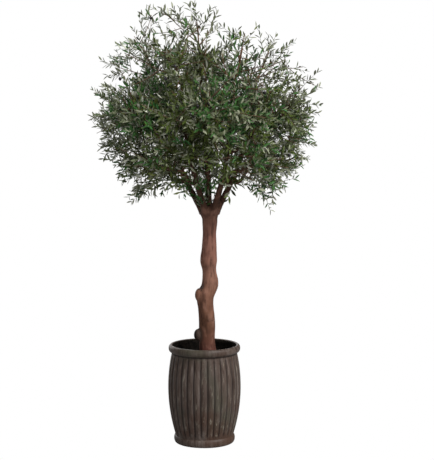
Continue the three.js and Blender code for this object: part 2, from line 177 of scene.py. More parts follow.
# A ring's masses turn by a share of the way to the next bough. A mass's own bough leaves the main one at a
# share of its length, and ends so far from the mass's middle.
RINGS = [
    SimpleNamespace(name="skirt", height=1.505, reach=0.350, turn=0.0, entry=0.150, leaves=0.3, rise=-0.5),
    SimpleNamespace(name="side", height=1.785, reach=0.400, turn=0.5, entry=0.165, leaves=0.55, rise=0.3),
    SimpleNamespace(name="shoulder", height=2.050, reach=0.310, turn=0.0, entry=0.165, leaves=0.0, rise=0.8),
]
TOP = SimpleNamespace(name="top", height=2.180, reach=0.045, entry=0.180, rise=1.2)
MASS_GAP = 0.004  # between two masses
LIMB_GAP = 0.005  # between a mass and the limbs
CLEAR_STEP = 0.012  # between the points of a limb that foliage keeps clear of
ROOT_GAP = 0.0003  # between a mass's stem and its bough, in the solids

GOLDEN_ANGLE = math.pi * (3 - math.sqrt(5))
# Where the streams of numbers start: the first mass, the step to the next, and what is added for its parts.
SEED = SimpleNamespace(mass=7001, step=131, branchlets=30011, shoots=50021, sprigs=70001, leaves=9001)
FORK_SEED = 31337
OLIVE_SEED = 90217
STEM = SimpleNamespace(root=0.007, tip=0.0026, past=0.55, steps=4, sides=7, joints=16)
TWIG = SimpleNamespace(
    count=7,
    first=0.14,
    span=0.82,
    root=0.0036,
    tip=0.0018,
    steps=2,
    longest=0.350,
    shortest=0.070,
    trial=0.014,
    low_lean=96,
    high_lean=24,
    bend=0.5,
    sides=5,
    joints=9,
    bare_end=0.030,  # a twig ends about so far past the last growth on it
)
# The leafy shoots that stand in a solid's blades.
SPRAY = SimpleNamespace(
    length=0.188,
    shares=(1, 0.8, 0.62),
    width=0.062,
    thickness=0.005,
    widest=0.42,
    lean=47,
    apart=0.080,
    pairs=2,
    gap=0.022,
    face_rise=0.45,
    thinned=0.65,  # how much the shoots heed the crown's airiness
)
# Finer twigs off the stems and twigs, which the solids leave out.
BRANCHLET = SimpleNamespace(
    root=0.0024,
    tip=0.0012,
    apart=0.050,  # along what carries them
    longest=0.270,
    shortest=0.090,
    trial=0.030,
    lean=(46, 88),
    gap=0.045,  # between two of them
    thinned=0.35,  # how much they heed the crown's airiness
    astray=0.055,
    above_hem=0.045,  # room for the shoots that it carries
    sides=4,
    joints=6,
)
# The finer shoots that fill the room between them.
SHOOT = SimpleNamespace(
    root=0.0014,
    tip=0.0006,
    apart=0.030,  # along what carries them
    longest=0.165,
    shortest=0.050,
    trial=0.023,
    lean=(42, 78),
    gap=0.025,  # between two of them
    thinned=1.0,
    astray=0.065,  # how far they run on into the next mass's space
    above_hem=0.0,
    shy=(0.004, 0.090),  # how far within the crown's outline they stop
    weep=0.95,  # how far they are drawn down in the skirt
    lift=0.10,  # how far a shoot turns up, as a share of its length
    sides=3,
    joints=4,
)
# How branchlets and shoots stand on what carries them, in shares of its length, and how they are tried.
FINER = SimpleNamespace(
    counted=0.94,
    first=0.06,
    span=0.93,
    tip_lean=20,
    waver=0.6,  # how uneven the golden angle is, in radians
    least=0.62,  # the shortest first trial, as a share of the longest
    limb_gap=0.004,
)
MID_SHOOT = 0.6  # the share of a length where the gap to others, and how airy the crown is, are taken
ROOM_AT = (0.35, 0.7, 1)  # and where the room round it is
# Where the crown thins out. Buried is 0 at its outline and 1 at its middle.
AIRY = SimpleNamespace(
    middle=np.array([-0.045, 0.0, 1.77]),
    radii=np.array([0.64, 0.64, 0.62]),
    up=(1.73, 2.04),  # the heights between which the top thins
    down=(1.66, 1.42),  # and the underside
    cap=(2.24, 2.36),  # between which it fills out again
    depth=(0.45, 0.32),  # how buried it is where the thinning begins, and where it is full
    top=1.0,  # the share of shoots that the top does without
    under=1.15,
    under_sides=0.75,  # how much less at the left and right of the underside
    capped=0.45,  # how much the cap fills out again
    clumps=6.0,  # how many tufts and gaps there are to the metre
    clumped=0.55,  # how much they differ
    shift=(0.6, 0.0, 0.0),  # which of them fall where
)
# The hem that the finer growth keeps above. It drops away from the trunk, more on one side, and arches over
# the fork at the front and the back.
HEM = SimpleNamespace(height=1.475, drop=0.210, more=0.030, side=-20, reach=0.40, arch=0.62)
# The leafy sprigs straight off the boughs, lower down on the two in the middle of the fork.
SPRIG = SimpleNamespace(
    apart=0.020,
    lowest=1.42,
    inner=("leader", "bough_2"),
    inner_lowest=1.285,
    length=(0.06, 0.15),
    shortest=0.036,
    trial=0.015,
    lean=(25, 75),
    rise=0.3,
    waver=1.2,  # how uneven the golden angle is, in radians
    seated=0.6,  # how far out from its middle a sprig starts, as a share of the bough's radius
    limb_gap=-0.005,
)
# Young leafy shoots that rise from the fork.
FORK_SHOOTS = SimpleNamespace(
    count=11,
    middle=(-0.002, -0.034, 1.275),
    spread=0.022,
    length=(0.09, 0.19),
    lean=13,
    rise=2.0,
)
LEAF = SimpleNamespace(
    length=(0.033, 0.049),
    breadth=0.29,  # as a share of the length
    first=0.06,  # where on a shoot the leaves begin
    apart=0.0190,  # between two pairs
    shoot_size=(0.92, 1.08),  # how much the leaves of one shoot differ from another's
    breadths=(0.88, 1.12),
    lean=(28, 74),
    young=0.35,  # how much smaller and closer they are at a shoot's tip
    waver=0.3,  # how uneven the turn from pair to pair is, in radians
    lift=0.12,  # how far a leaf turns up
    stalk=0.0006,
    fold=0.16,  # depth of the midrib, as a share of the breadth
    arc=0.07,  # how far base and tip bend back, as a share of the length
    rib=0.0005,
    missing=0.06,  # the share that has dropped
    sparse=0.35,  # and more where the crown is airy
    patches=6.0,  # how many patches of one tone there are to the metre
    patch_depth=0.9,  # how much they differ
    patchy=0.50,  # how much of a shoot's tone is its patch's
    warm_patches=3.6,  # and of warmer and cooler green
    mingled=0.10,  # how far those two run into each other
    odd=0.14,  # the share of tones, at either end, that take an odd green
    yellowish=0.8,  # how many of a shoot's leaves take the one odd green
    bright=0.7,  # and the other
    silver=0.87,  # a leaf above this much luck is silver, partly its own silvery tone and partly painted highlight
    pale_back=0.60,  # and above this its back is
)
# The way that a leaf faces: the parts that its shoot, the sky, the crown's outside and chance have in it.
FACING = SimpleNamespace(along=0.75, up=0.55, out=0.45, odd=0.55)
# How light a leaf is painted: being outside and height give painted light and shade, its shoot's tone and
# luck its own variety; these are the shares that each has in it.
LEAF_LIGHT_AND_TONE = SimpleNamespace(
    outside=0.34,
    height=0.16,
    tone=0.56,
    luck=0.40,
    least=0.07,
    steps=4.6,
    deep=0.26,  # how far within the outline the painted shade of the inside begins
    lowest=1.3,
    tall=1.05,
    under=0.30,  # how much being outside tells at the lowest
    under_fade=2.2,
)
OLIVE = SimpleNamespace(
    count=90,
    radius=0.0085,
    stretch=1.28,
    stalk=0.010,
    stalk_radius=0.0008,
    within=0.025,  # none hangs nearer to the crown's outline
    outer=0.16,  # how deep the outer crown is
    outer_chance=0.10,
    inner_chance=0.02,
)

GLOW = 0.16  # of the room, all round
# Wide lights: strength, height and turn to the right of the front in degrees, and softness.
KEY = SimpleNamespace(strength=3.9, rise=40, turn=52, softness=36)
FILL = SimpleNamespace(strength=1.1, rise=8, turn=4, softness=60)
BACK = SimpleNamespace(strength=1.4, rise=22, turn=205, softness=60)

CAMERA = SimpleNamespace(lens=95.5, place=(0.069, -6.61, 1.763), tilt=84.86)

UP = np.array([0.0, 0.0, 1.0])
SIDE = np.array([1.0, 0.0, 0.0])


# ---------------------------------------------------------------- small helpers
def rise_between(value, low, high):
    """0 at low and 1 at high, smooth in between."""
    return smoothstep((value - low) / (high - low))


def numbers(seed):
    """A repeatable stream of numbers, from 0 to 1 unless it is given other limits."""
    state = seed

    def draw(low=0.0, high=1.0):
        nonlocal state
        state = (state * 48271) % 2147483647
        return low + (high - low) * state / 2147483647

    return draw


def unit(vector):
    return vector / np.linalg.norm(vector, axis=-1, keepdims=True)


def mix(a, b, share):
    return a + (b - a) * share


def smoothstep(share):
    share = np.clip(share, 0, 1)
    return share * share * (3 - 2 * share)


def full_turn(count):
    """Angles evenly round a circle."""
    return np.arange(count) * 2 * math.pi / count


def place(name, data):
    thing = bpy.data.objects.new(name, data)
    bpy.context.scene.collection.objects.link(thing)
    return thing


def around(centre, reach, side, height):
    """A point at a distance from an axis, on the side given in radians from +X."""
    return np.array([centre + reach * math.cos(side), reach * math.sin(side), height])


class Path:
    """A smooth route, measured along its length."""

    samples = 201

    def __init__(self, curve):
        self.curve = curve
        self.t = np.linspace(0, 1, self.samples)
        steps = np.linalg.norm(np.diff(curve(self.t), axis=0), axis=1)
        self.lengths = np.concatenate([[0], np.cumsum(steps)])
        self.length = self.lengths[-1]

    def _parameter(self, shares):
        return np.interp(np.atleast_1d(shares) * self.length, self.lengths, self.t)

    def points(self, shares):
        return self.curve(self._parameter(shares))

    def tangents(self, shares):
        t = self._parameter(shares)
        return unit(self.curve(np.minimum(t + 1e-4, 1)) - self.curve(np.maximum(t - 1e-4, 0)))

    def point(self, share):
        return self.points(share)[0]

    def tangent(self, share):
        return self.tangents(share)[0]

    def on_chord(self, steps, share):
        """The middle of a limb that is made in straight steps, at a share of its length."""
        step = min(int(share * steps), steps - 1)
        return mix(self.point(step / steps), self.point((step + 1) / steps), share * steps - step)


def smooth_path(points):
    """A centripetal Catmull-Rom route through points."""
    points = np.asarray(points, float)
    padded = np.vstack([2 * points[0] - points[1], points, 2 * points[-1] - points[-2]])
    spacing = np.sqrt(np.linalg.norm(np.diff(padded, axis=0), axis=1))

    def curve(t):
        along = np.asarray(t) * (len(points) - 1)
        i = np.minimum(along.astype(int), len(points) - 2)
        w = (along - i)[:, None]
        x0, x1, x2, x3 = (padded[i + k] for k in range(4))
        d0, d1, d2 = (spacing[i + k][:, None] for k in range(3))
        leaving = d1 * ((x1 - x0) / d0 - (x2 - x0) / (d0 + d1) + (x2 - x1) / d1)
        arriving = d1 * ((x2 - x1) / d1 - (x3 - x1) / (d1 + d2) + (x3 - x2) / d2)
        rest = x2 - x1
        second = 3 * rest - 2 * leaving - arriving
        third = leaving + arriving - 2 * rest
        return x1 + w * (leaving + w * (second + w * third))

    return Path(curve)


def bowed_path(root, bend, tip):
    """A quadratic Bezier route."""

    def curve(t):
        t = np.asarray(t)[:, None]
        return (1 - t) ** 2 * root + 2 * t * (1 - t) * bend + t**2 * tip

    return Path(curve)


def turned(direction, lean, spin):
    """Directions that lean away from others, to the side that spin gives."""
    helper = np.where(np.abs(direction[..., 2:3]) < 0.9, UP, SIDE)
    across = unit(np.cross(helper, direction))
    other = np.cross(direction, across)
    lean, spin = np.asarray(lean)[..., None], np.asarray(spin)[..., None]
    return unit(direction * np.cos(lean) + np.sin(lean) * (across * np.cos(spin) + other * np.sin(spin)))


# ---------------------------------------------------------------- meshes from arrays
def ring_triangles(rows, columns):
    """The triangles between the rings of a surface whose columns close on themselves."""
    here = np.arange(rows - 1)[:, None] * columns + np.arange(columns)
    right = np.arange(rows - 1)[:, None] * columns + (np.arange(columns) + 1) % columns
    quads = np.stack([here, right, right + columns, here + columns], axis=-1)
    return np.concatenate([quads[..., [0, 1, 2]], quads[..., [0, 2, 3]]]).reshape(-1, 3)


def cap_triangles(start, columns, middle, turn=1):
    here = start + np.arange(columns)
    right = start + (np.arange(columns) + 1) % columns
    return np.stack([here, right, np.full(columns, middle)], axis=-1)[:, ::turn]


class Surface:
    """Vertices and triangles that are gathered into one mesh."""

    def __init__(self):
        self.vertices = []
        self.triangles = []
        self.finishes = []
        self.count = 0

    def add(self, vertices, triangles, finish=0):
        self.vertices.append(vertices)
        self.triangles.append(triangles + self.count)
        self.finishes.append(np.full(len(triangles), finish) if np.isscalar(finish) else finish)
        self.count += len(vertices)

    def add_rings(self, rings, finish=0):
        """A closed surface through rings of points, with a flat cap at each end."""
        rows, columns = rings.shape[:2]
        middles = np.array([rings[0].mean(0), rings[-1].mean(0)])
        foot = cap_triangles(0, columns, rows * columns, -1)
        head = cap_triangles((rows - 1) * columns, columns, rows * columns + 1)
        triangles = np.concatenate([ring_triangles(rows, columns), foot, head])
        self.add(np.concatenate([rings.reshape(-1, 3), middles]), triangles, finish)

    def add_tube(self, points, radii, sides, finish=0):
        """A tube along a route, with no twist from one ring to the next."""
        tangents = unit(np.gradient(points, axis=0))
        normal = np.cross(tangents[0], UP if abs(tangents[0][2]) < 0.9 else SIDE)
        angles = full_turn(sides)
        rings = np.empty((len(points), sides, 3))
        for i, tangent in enumerate(tangents):
            normal = normal - tangent * (normal @ tangent)
            normal /= math.sqrt(normal @ normal)
            binormal = np.cross(tangent, normal)
            rim = np.outer(np.cos(angles), normal) + np.outer(np.sin(angles), binormal)
            rings[i] = points[i] + radii[i] * rim
        self.add_rings(rings, finish)

    def piece(self, name, materials):
        mesh = bpy.data.meshes.new(name)
        vertices = np.concatenate(self.vertices)
        triangles = np.concatenate(self.triangles)
        mesh.vertices.add(len(vertices))
        mesh.vertices.foreach_set("co", vertices.astype(np.float32).ravel())
        mesh.loops.add(triangles.size)
        mesh.loops.foreach_set("vertex_index", triangles.astype(np.int32).ravel())
        mesh.polygons.add(len(triangles))
        mesh.polygons.foreach_set("loop_start", np.arange(0, triangles.size, 3, dtype=np.int32))
        mesh.polygons.foreach_set("material_index", np.concatenate(self.finishes).astype(np.int32))
        mesh.polygons.foreach_set("use_smooth", np.ones(len(triangles), bool))
        for material in materials:
            mesh.materials.append(material)
        mesh.update(calc_edges=True)
        return place(name, mesh)


def ball(subdivisions, radius=1):
    shape = bmesh.new()
    bmesh.ops.create_icosphere(shape, subdivisions=subdivisions, radius=radius)
    vertices = np.array([v.co for v in shape.verts])
    triangles = np.array([[v.index for v in face.verts] for face in shape.faces])
    shape.free()
    return vertices, triangles


def read(mesh, name):
    """A vector for each vertex: its place or its normal."""
    flat = np.empty(len(mesh.vertices) * 3, np.float32)
    mesh.vertices.foreach_get(name, flat)
    return flat.reshape(-1, 3).astype(float)


def store(mesh, name, values):
    """Keeps one number a vertex, for a material to read."""
    attribute = mesh.attributes.new(name, "FLOAT", "POINT")
    attribute.data.foreach_set("value", values.astype(np.float32))


# ---------------------------------------------------------------- finishes
def paint(red, green, blue):
    """A shader's colour from 8-bit screen values."""

    def linear(value):
        value /= 255
        return value / 12.92 if value <= 0.04045 else ((value + 0.055) / 1.055) ** 2.4

    return (linear(red), linear(green), linear(blue), 1.0)


def set_stops(ramp, stops):
    while len(ramp.elements) < len(stops):
        ramp.elements.new(0.5)
    for element, (position, colour) in zip(ramp.elements, stops):
        element.position = position
        element.color = colour


def add_node(tree, kind, settings=None, sockets=None):
    """A node with its settings, such as a ramp's stops, and then the values or links of its sockets."""
    made = tree.nodes.new(kind)
    for name, value in (settings or {}).items():
        if name == "stops":
            set_stops(made.color_ramp, value)
        else:
            setattr(made, name, value)
    for name, value in (sockets or {}).items():
        if isinstance(value, bpy.types.NodeSocket):
            tree.links.new(value, made.inputs[name])
        else:
            made.inputs[name].default_value = value
    return made


class Signal:
    """A socket that arithmetic is written on."""

    def __init__(self, finish, socket):
        self.finish = finish
        self.socket = socket

    def maths(self, operation, *values):
        return self.finish.node("ShaderNodeMath", {"operation": operation}, dict(enumerate(values)))

    def __add__(self, other):
        return self.maths("ADD", self, other)

    def __sub__(self, other):
        return self.maths("SUBTRACT", self, other)

    def __rsub__(self, other):
        return self.maths("SUBTRACT", other, self)

    def __mul__(self, other):
        return self.maths("MULTIPLY", self, other)

    __radd__ = __add__
    __rmul__ = __mul__

    def between(self, low, high):
        """0 where it is at or below low, 1 at or above high, and smooth in between."""
        sockets = {"Value": self, "From Min": low, "From Max": high}
        return self.finish.node("ShaderNodeMapRange", {"interpolation_type": "SMOOTHSTEP"}, sockets)


class Finish:
    """A material whose pattern is worked out by nodes."""

    def __init__(self, name, colour, roughness, **constants):
        self.material = bpy.data.materials.new(name)
        self.material.use_nodes = True
        self.tree = self.material.node_tree
        self.shader = self.tree.nodes["Principled BSDF"]
        self.shader.inputs["Base Color"].default_value = colour
        self.shader.inputs["Roughness"].default_value = roughness
        for socket, value in constants.items():
            self.shader.inputs[socket.replace("_", " ")].default_value = value
        self.place = self.node("ShaderNodeTexCoord", output="Object")

    def node(self, kind, settings=None, sockets=None, output=0):
        plain = {name: getattr(value, "socket", value) for name, value in (sockets or {}).items()}
        return Signal(self, add_node(self.tree, kind, settings, plain).outputs[output])

    def stretched(self, x, y, z):
        sockets = {0: self.place, 1: (x, y, z)}
        return self.node("ShaderNodeVectorMath", {"operation": "MULTIPLY"}, sockets)

    def noise(self, scale, detail=3.0, roughness=0.55, where=None):
        sockets = {"Vector": where or self.place, "Scale": scale, "Detail": detail, "Roughness": roughness}
        return self.node("ShaderNodeTexNoise", {}, sockets)

    def stored(self, name):
        return self.node("ShaderNodeAttribute", {"attribute_name": name}, output="Fac")

    def blend(self, share, a, b):
        return self.node("ShaderNodeMix", {"data_type": "RGBA"}, {0: share, 6: a, 7: b}, output=2)

    def ramp(self, value, stops):
        return self.node("ShaderNodeValToRGB", {"stops": stops}, {0: value})

    def feed(self, socket, value):
        self.tree.links.new(value.socket, self.shader.inputs[socket])

    def relief(self, height, distance, strength=1.0):
        sockets = {"Height": height, "Distance": distance, "Strength": strength}
        self.feed("Normal", self.node("ShaderNodeBump", {}, sockets, output="Normal"))


def glaze_finish():
    """Brown-grey satin glaze, browner low down, with painted highlights in pale runs on the rib crests, and
    painted shade in the grooves and under the rim.
    """
    finish = Finish("aged_glaze", paint(66, 58, 54), 0.42, Specular_IOR_Level=0.22)
    groove = finish.stored("groove")
    crest = finish.stored("crest")
    height = finish.node("ShaderNodeSeparateXYZ", {}, {0: finish.place}, output=2)
    runs = finish.noise(1.0, 5.0, 0.7, finish.stretched(64, 64, 4.5))
    clouds = finish.noise(9.0, 2.0)
    stops = [(0.30, paint(40, 29, 24)), (0.45, paint(66, 54, 47))]
    tint = finish.ramp(runs, [*stops, (0.58, paint(82, 71, 65)), (0.74, paint(108, 99, 93))])
    green = finish.noise(7.0, 2.0, 0.5, finish.stretched(1, 1, 0.5)).between(0.53, 0.68)
    tint = finish.blend(green * 0.5, tint, paint(62, 64, 52))
    low = 1 - height.between(0.02, 0.42)
    tint = finish.blend(clouds.between(0.40, 0.66) * (0.25 + 0.55 * low), tint, paint(62, 42, 31))
    # painted highlight: pale runs on the rib crests stand for the glaze's reflections of the lights
    crest_highlight = finish.noise(1.0, 5.0, 0.7, finish.stretched(70, 70, 12)).between(0.54, 0.70)
    tint = finish.blend(crest_highlight * crest * 0.75, tint, paint(142, 136, 122))
    # painted shade: the grooves between the ribs and the band under the rim are painted dark
    tint = finish.blend(groove.between(0.22, 1.0) * 0.85, tint, paint(26, 19, 16))
    finish.feed("Base Color", tint)
    finish.feed("Roughness", 0.34 + 0.26 * clouds + 0.25 * groove)
    pitting = finish.noise(260.0, 2.0)
    finish.relief(runs * crest * 0.8 + pitting * 0.2 + clouds * 0.4, 0.0022, 0.55)
    return finish.material


def spotted_finish(name, colour, roughness, specular, spots, stops, height):
    """Colours that run into each other in small spots, which also stand up a little."""
    finish = Finish(name, colour, roughness, Specular_IOR_Level=specular)
    pattern = finish.noise(*spots)
    finish.feed("Base Color", finish.ramp(pattern, stops))
    finish.relief(pattern, height)
    return finish.material


def inside_finish():
    """Bare clay inside the pot, painted near black as painted shade for its dark inside."""
    # near-black painted shade, a little lighter in spots
    stops = [(0.35, paint(9, 8, 7)), (0.7, paint(30, 26, 22))]
    return spotted_finish("pot_inside_painted_shade", paint(9, 8, 7), 0.95, 0.05, (60.0, 4.0), stops, 0.001)


def soil_finish():
    """Dark crumbly compost."""
    stops = [(0.3, paint(12, 9, 7)), (0.55, paint(34, 26, 20)), (0.75, paint(62, 49, 38))]
    return spotted_finish("compost", paint(30, 23, 18), 0.95, 0.5, (170.0, 5.0, 0.7), stops, 0.004)


def twig_finish(name, dark, light):
    """Skin of young wood."""
    return spotted_finish(name, dark, 0.75, 0.2, (120.0, 3.0), [(0.35, dark), (0.65, light)], 0.0006)


def bark_finish():
    """Reddish bark, tan further up and darker on the boughs, mottled and finely cracked, with painted shade
    in its hollows and on the sawn stub.
    """
    finish = Finish("bark", paint(90, 62, 52), 0.72, Specular_IOR_Level=0.15)
    streaks = finish.noise(1.0, 5.0, 0.62, finish.stretched(75, 75, 12))
    mottle = finish.noise(1.0, 3.0, 0.5, finish.stretched(30, 30, 17))
    by_height = [
        (0.00, paint(94, 50, 46)),
        (0.10, paint(88, 54, 44)),
        (0.22, paint(90, 60, 44)),
        (0.38, paint(108, 74, 58)),
        (0.50, paint(124, 88, 72)),
        (0.80, paint(126, 86, 74)),
        (0.93, paint(100, 70, 58)),
        (1.00, paint(70, 48, 37)),
    ]
    tint = finish.ramp((finish.stored("height") - 0.454) * 1.18, by_height)
    tint = finish.blend((1 - streaks.between(0.34, 0.54)) * 0.6, tint, paint(54, 34, 27))
    tint = finish.blend(mottle.between(0.48, 0.72) * 0.40, tint, paint(146, 108, 92))
    tint = finish.blend((1 - mottle.between(0.32, 0.50)) * 0.40, tint, paint(66, 42, 33))
    tint = finish.blend(finish.stored("grey") * 0.7, tint, paint(66, 58, 52))
    # painted shade: near black in the hollows, the deeper the darker, and on the stub's sawn end
    tint = finish.blend(finish.stored("hollow"), tint, paint(18, 13, 11))
    finish.feed("Base Color", tint)
    finish.feed("Roughness", 0.65 + 0.25 * mottle)
    grain = finish.noise(1.0, 4.0, 0.6, finish.stretched(210, 210, 50))
    finish.relief(streaks * 0.7 + mottle * 0.4 + grain * 0.4, 0.0025, 0.9)
    return finish.material


def leaf_finish(name, colour, roughness):
    """One plain colour of leaf, with a faint leathery skin."""
    finish = Finish(name, colour, roughness, Specular_IOR_Level=0.28)
    skin = finish.noise(420.0, 2.0)
    finish.feed("Roughness", roughness - 0.08 + 0.16 * skin)
    finish.relief(skin, 0.0003, 0.5)
    return finish.material


def olive_finish():
    """Ripe black skin with a faint bloom."""
    finish = Finish("ripe_olive", paint(24, 18, 24), 0.3)
    bloom = finish.noise(90.0, 3.0)
    stops = [(0.4, paint(16, 12, 15)), (0.75, paint(48, 38, 50))]
    finish.feed("Base Color", finish.ramp(bloom, stops))
    finish.feed("Roughness", 0.22 + 0.3 * bloom)
    return finish.material


# ---------------------------------------------------------------- pot and soil
def belly_radius(height):
    rise = height - POT.belly_height
    return POT_RADIUS - POT.belly_curve + np.sqrt(POT.belly_curve**2 - rise**2)


def arc(centre, half_width, half_height, middle, start, end, count):
    angles = np.radians(np.linspace(start, end, count))
    return np.stack([centre + half_width * np.cos(angles), middle + half_height * np.sin(angles)], axis=-1)


def pot_profile():
    """Radius and height from the middle of the underside, out, up, over the rim and down the inside."""
    swell = POT.foot_bead - POT.foot_radius
    foot = arc(POT.foot_radius, swell, POT.foot_height / 2, POT.foot_height / 2, -90, 72, 12)
    heights = np.linspace(POT.foot_height, POT.neck, 44)
    side = np.stack([belly_radius(heights), heights], axis=-1)
    rim_middle = POT_HEIGHT - POT.rim_half_height
    rim = arc(POT.rim_centre, POT.rim_half_width, POT.rim_half_height, rim_middle, -52, 205, POT.rim_points)
    inner_heights = np.linspace(POT.neck, POT.floor, 9)
    inner = np.stack([belly_radius(inner_heights) - POT.wall, inner_heights], axis=-1)
    return np.concatenate([foot, side, rim, inner]), len(foot) + len(side) + POT.glazed_points


def lathed(radii, heights, angles):
    """Rings of points round the pot's axis."""
    x = radii * np.cos(angles)
    return np.stack([x, radii * np.sin(angles), heights + 0 * x], axis=-1)


def make_pot():
    profile, bare_from = pot_profile()
    columns = POT.ribs * POT.sides_per_rib
    angles = full_turn(columns) - math.pi / 2
    radius, height = profile[:, :1], profile[:, 1:]
    across = np.abs((angles + math.pi / 2) * POT.ribs / (2 * math.pi) % 1 * 2 - 1)
    off_crest = 1 - across  # 0 on the crest of a rib and 1 at the bottom between two ribs
    round_rib = 1 - np.sqrt(np.clip(1 - off_crest**2, 0, 1))
    from_end = np.minimum(height - POT.foot_height, POT.neck - height)
    on_side = np.abs(radius - belly_radius(height)) < 1e-6
    share = smoothstep(from_end / POT.rib_fade) * on_side
    radii = radius - POT.rib_depth * share * round_rib
    surface = Surface()
    surface.add_rings(lathed(radii, height, angles))
    surface.finishes[0] = (surface.triangles[0].min(1) // columns >= bare_from).astype(int)
    pot = surface.piece("glazed_pot", [glaze_finish(), inside_finish()])
    neck_shadow = on_side * smoothstep(1 - (POT.neck - height) / POT.shadow)
    # the mask of painted shade, in the grooves between the ribs and in the band under the rim
    groove = np.maximum(share * off_crest**2.2, neck_shadow)
    crest = share * (1 - off_crest) ** 1.4
    for name, values in (("groove", groove), ("crest", crest)):
        store(pot.data, name, np.concatenate([values.ravel(), [0, 0]]))
    return pot


def make_soil():
    """Compost that fills the pot, with a crumbly top."""
    heights = np.linspace(POT.floor + SOIL.under, SOIL_TOP - SOIL.edge, 6)
    wall = belly_radius(heights) - POT.wall - SOIL.slack
    reaches = np.linspace(1.0, 0.02, SOIL.rounds + 1)[1:] * wall[-1]
    radius = np.concatenate([wall, reaches])[:, None]
    height = np.concatenate([heights, np.full(len(reaches), SOIL_TOP - SOIL.top)])[:, None]
    rings = lathed(radius, height, full_turn(SOIL.sides))
    for point in rings[len(heights) :].reshape(-1, 3):
        spot = Vector((point[0] * SOIL.crumbs, point[1] * SOIL.crumbs, 0.3))
        point[2] += SOIL.crumb * noise.noise(spot) + SOIL.fine_crumb * noise.noise(spot * SOIL.finer)
    rings[..., 2] = np.minimum(rings[..., 2], SOIL_TOP)
    surface = Surface()
    surface.add_rings(rings)
    return surface.piece("compost_fill", [soil_finish()])


# ---------------------------------------------------------------- masses and limbs, as the solids have them
def lay_out_masses():
    masses = []
    for ring in RINGS:
        for k, side in enumerate(BOUGH_SIDES):
            step = (BOUGH_SIDES[(k + 1) % len(BOUGH_SIDES)] - side + 360) % 360
            middle = around(CROWN_AXIS, ring.reach, math.radians(side + ring.turn * step), ring.height)
            name = f"{ring.name}_foliage_{k + 1}"
            masses.append(SimpleNamespace(name=name, ring=ring, bough=k, middle=middle))
    middle = around(CROWN_AXIS, TOP.reach, math.pi, TOP.height)
    masses.append(SimpleNamespace(name="top_foliage", ring=TOP, bough=-1, middle=middle))
    for index, mass in enumerate(masses):
        mass.index = index
        mass.seed = SEED.mass + SEED.step * index
    return masses


def bent_path(root, tip, bow, away):
    shares = np.array([0, 1 / 3, 2 / 3, 1])[:, None]
    return smooth_path(mix(root, tip, shares) + away * bow * np.sin(math.pi * shares))


def entry_point(start, mass):
    """Where a limb that comes from a point ends as it enters a mass."""
    return mass.middle + unit(start - mass.middle) * mass.ring.entry


def lay_out_limbs(masses):
    limbs = []

    def limb(name, path, size, mass):
        mass.limb = SimpleNamespace(name=name, path=path, size=size)
        limbs.append(mass.limb)

    for k, degrees in enumerate(BOUGH_SIDES):
        side = math.radians(degrees)
        root = around(FORK[0], BOUGH.ring, side, FORK[2])
        aim = around(FORK[0], AIM.out, side, FORK[2] + AIM.up)
        skirt, flank, shoulder = [mass for mass in masses if mass.bough == k]
        main = bent_path(root, entry_point(aim, shoulder), BOUGH.bow, around(0, 1, side, 0))
        limb(f"bough_{k + 1}", main, BOUGH, shoulder)
        for mass in (skirt, flank):
            start = main.point(mass.ring.leaves)
            path = bent_path(start, entry_point(start, mass), ARM.bow, -UP)
            limb(f"{mass.ring.name}_bough_{k + 1}", path, ARM, mass)
    top = masses[-1]
    path = bent_path(FORK, entry_point(FORK, top), LEADER.bow, np.array([0.0, 1.0, 0.0]))
    limb("leader", path, LEADER, top)
    return limbs


masses = lay_out_masses()
limbs = lay_out_limbs(masses)
middles = np.array([mass.middle for mass in masses])
trunk_path = smooth_path(TRUNK[:, [1, 2, 0]])


def trunk_radius(height):
    """Eased from one given radius to the next."""
    above = np.clip(np.searchsorted(TRUNK[:, 0], height), 1, len(TRUNK) - 1)
    low, high = TRUNK[above - 1], TRUNK[above]
    return mix(low[..., 3], high[..., 3], rise_between(height, low[..., 0], high[..., 0]))


def trunk_axis(height):
    return np.array([np.interp(height, TRUNK[:, 0], TRUNK[:, column]) for column in (1, 2)])


def limb_points():
    """Points along the trunk and every limb, with their radii, that foliage keeps clear of."""
    points, radii = [], []
    for path, size in [(trunk_path, None), *((limb.path, limb.size) for limb in limbs)]:
        count = math.ceil(path.length / CLEAR_STEP)
        shares = np.arange(count + 1) / count
        points.append(path.points(shares))
        radii.append(mix(size.root, size.tip, shares) if size else trunk_radius(points[-1][:, 2]))
    return np.concatenate(points), np.concatenate(radii)


limb_middles, limb_radii = limb_points()


def side_room(outline, points):
    """How far points are within the half width that an outline has at their height."""
    middle, half = (np.interp(points[:, 2], outline[:, 0], outline[:, column]) for column in (1, 2))
    return half - np.hypot(points[:, 0] - middle, points[:, 1])


def crown_room(points):
    """How far points are within the crown's outline and above its hollow underside."""
    height = points[:, 2]
    reach = np.hypot(points[:, 0] - CROWN_AXIS, points[:, 1])
    underside = UNDERSIDE.height - UNDERSIDE.drop * np.minimum(1, reach / UNDERSIDE.reach)
    beyond = (height <= CROWN[0, 0]) | (height > CROWN[-1, 0])
    return np.where(beyond, -1.0, np.minimum(side_room(CROWN, points), height - underside))


def leafy_room(points):
    """How far finer growth is within the crown's outline, or at the top within its own."""
    return np.where(points[:, 2] > LEAFY_TOP[0, 0], side_room(LEAFY_TOP, points), crown_room(points))


def above_hem(points, margin=0.0):
    """Whether points are above the hem of the finer growth."""
    x, y = points[:, 0] - CROWN_AXIS, points[:, 1]
    lean = np.cos(np.arctan2(y, x) - math.radians(HEM.side))
    out = np.minimum(1, np.hypot(x, y * HEM.arch) / HEM.reach)
    return points[:, 2] >= HEM.height - (HEM.drop + HEM.more * lean) * out + margin


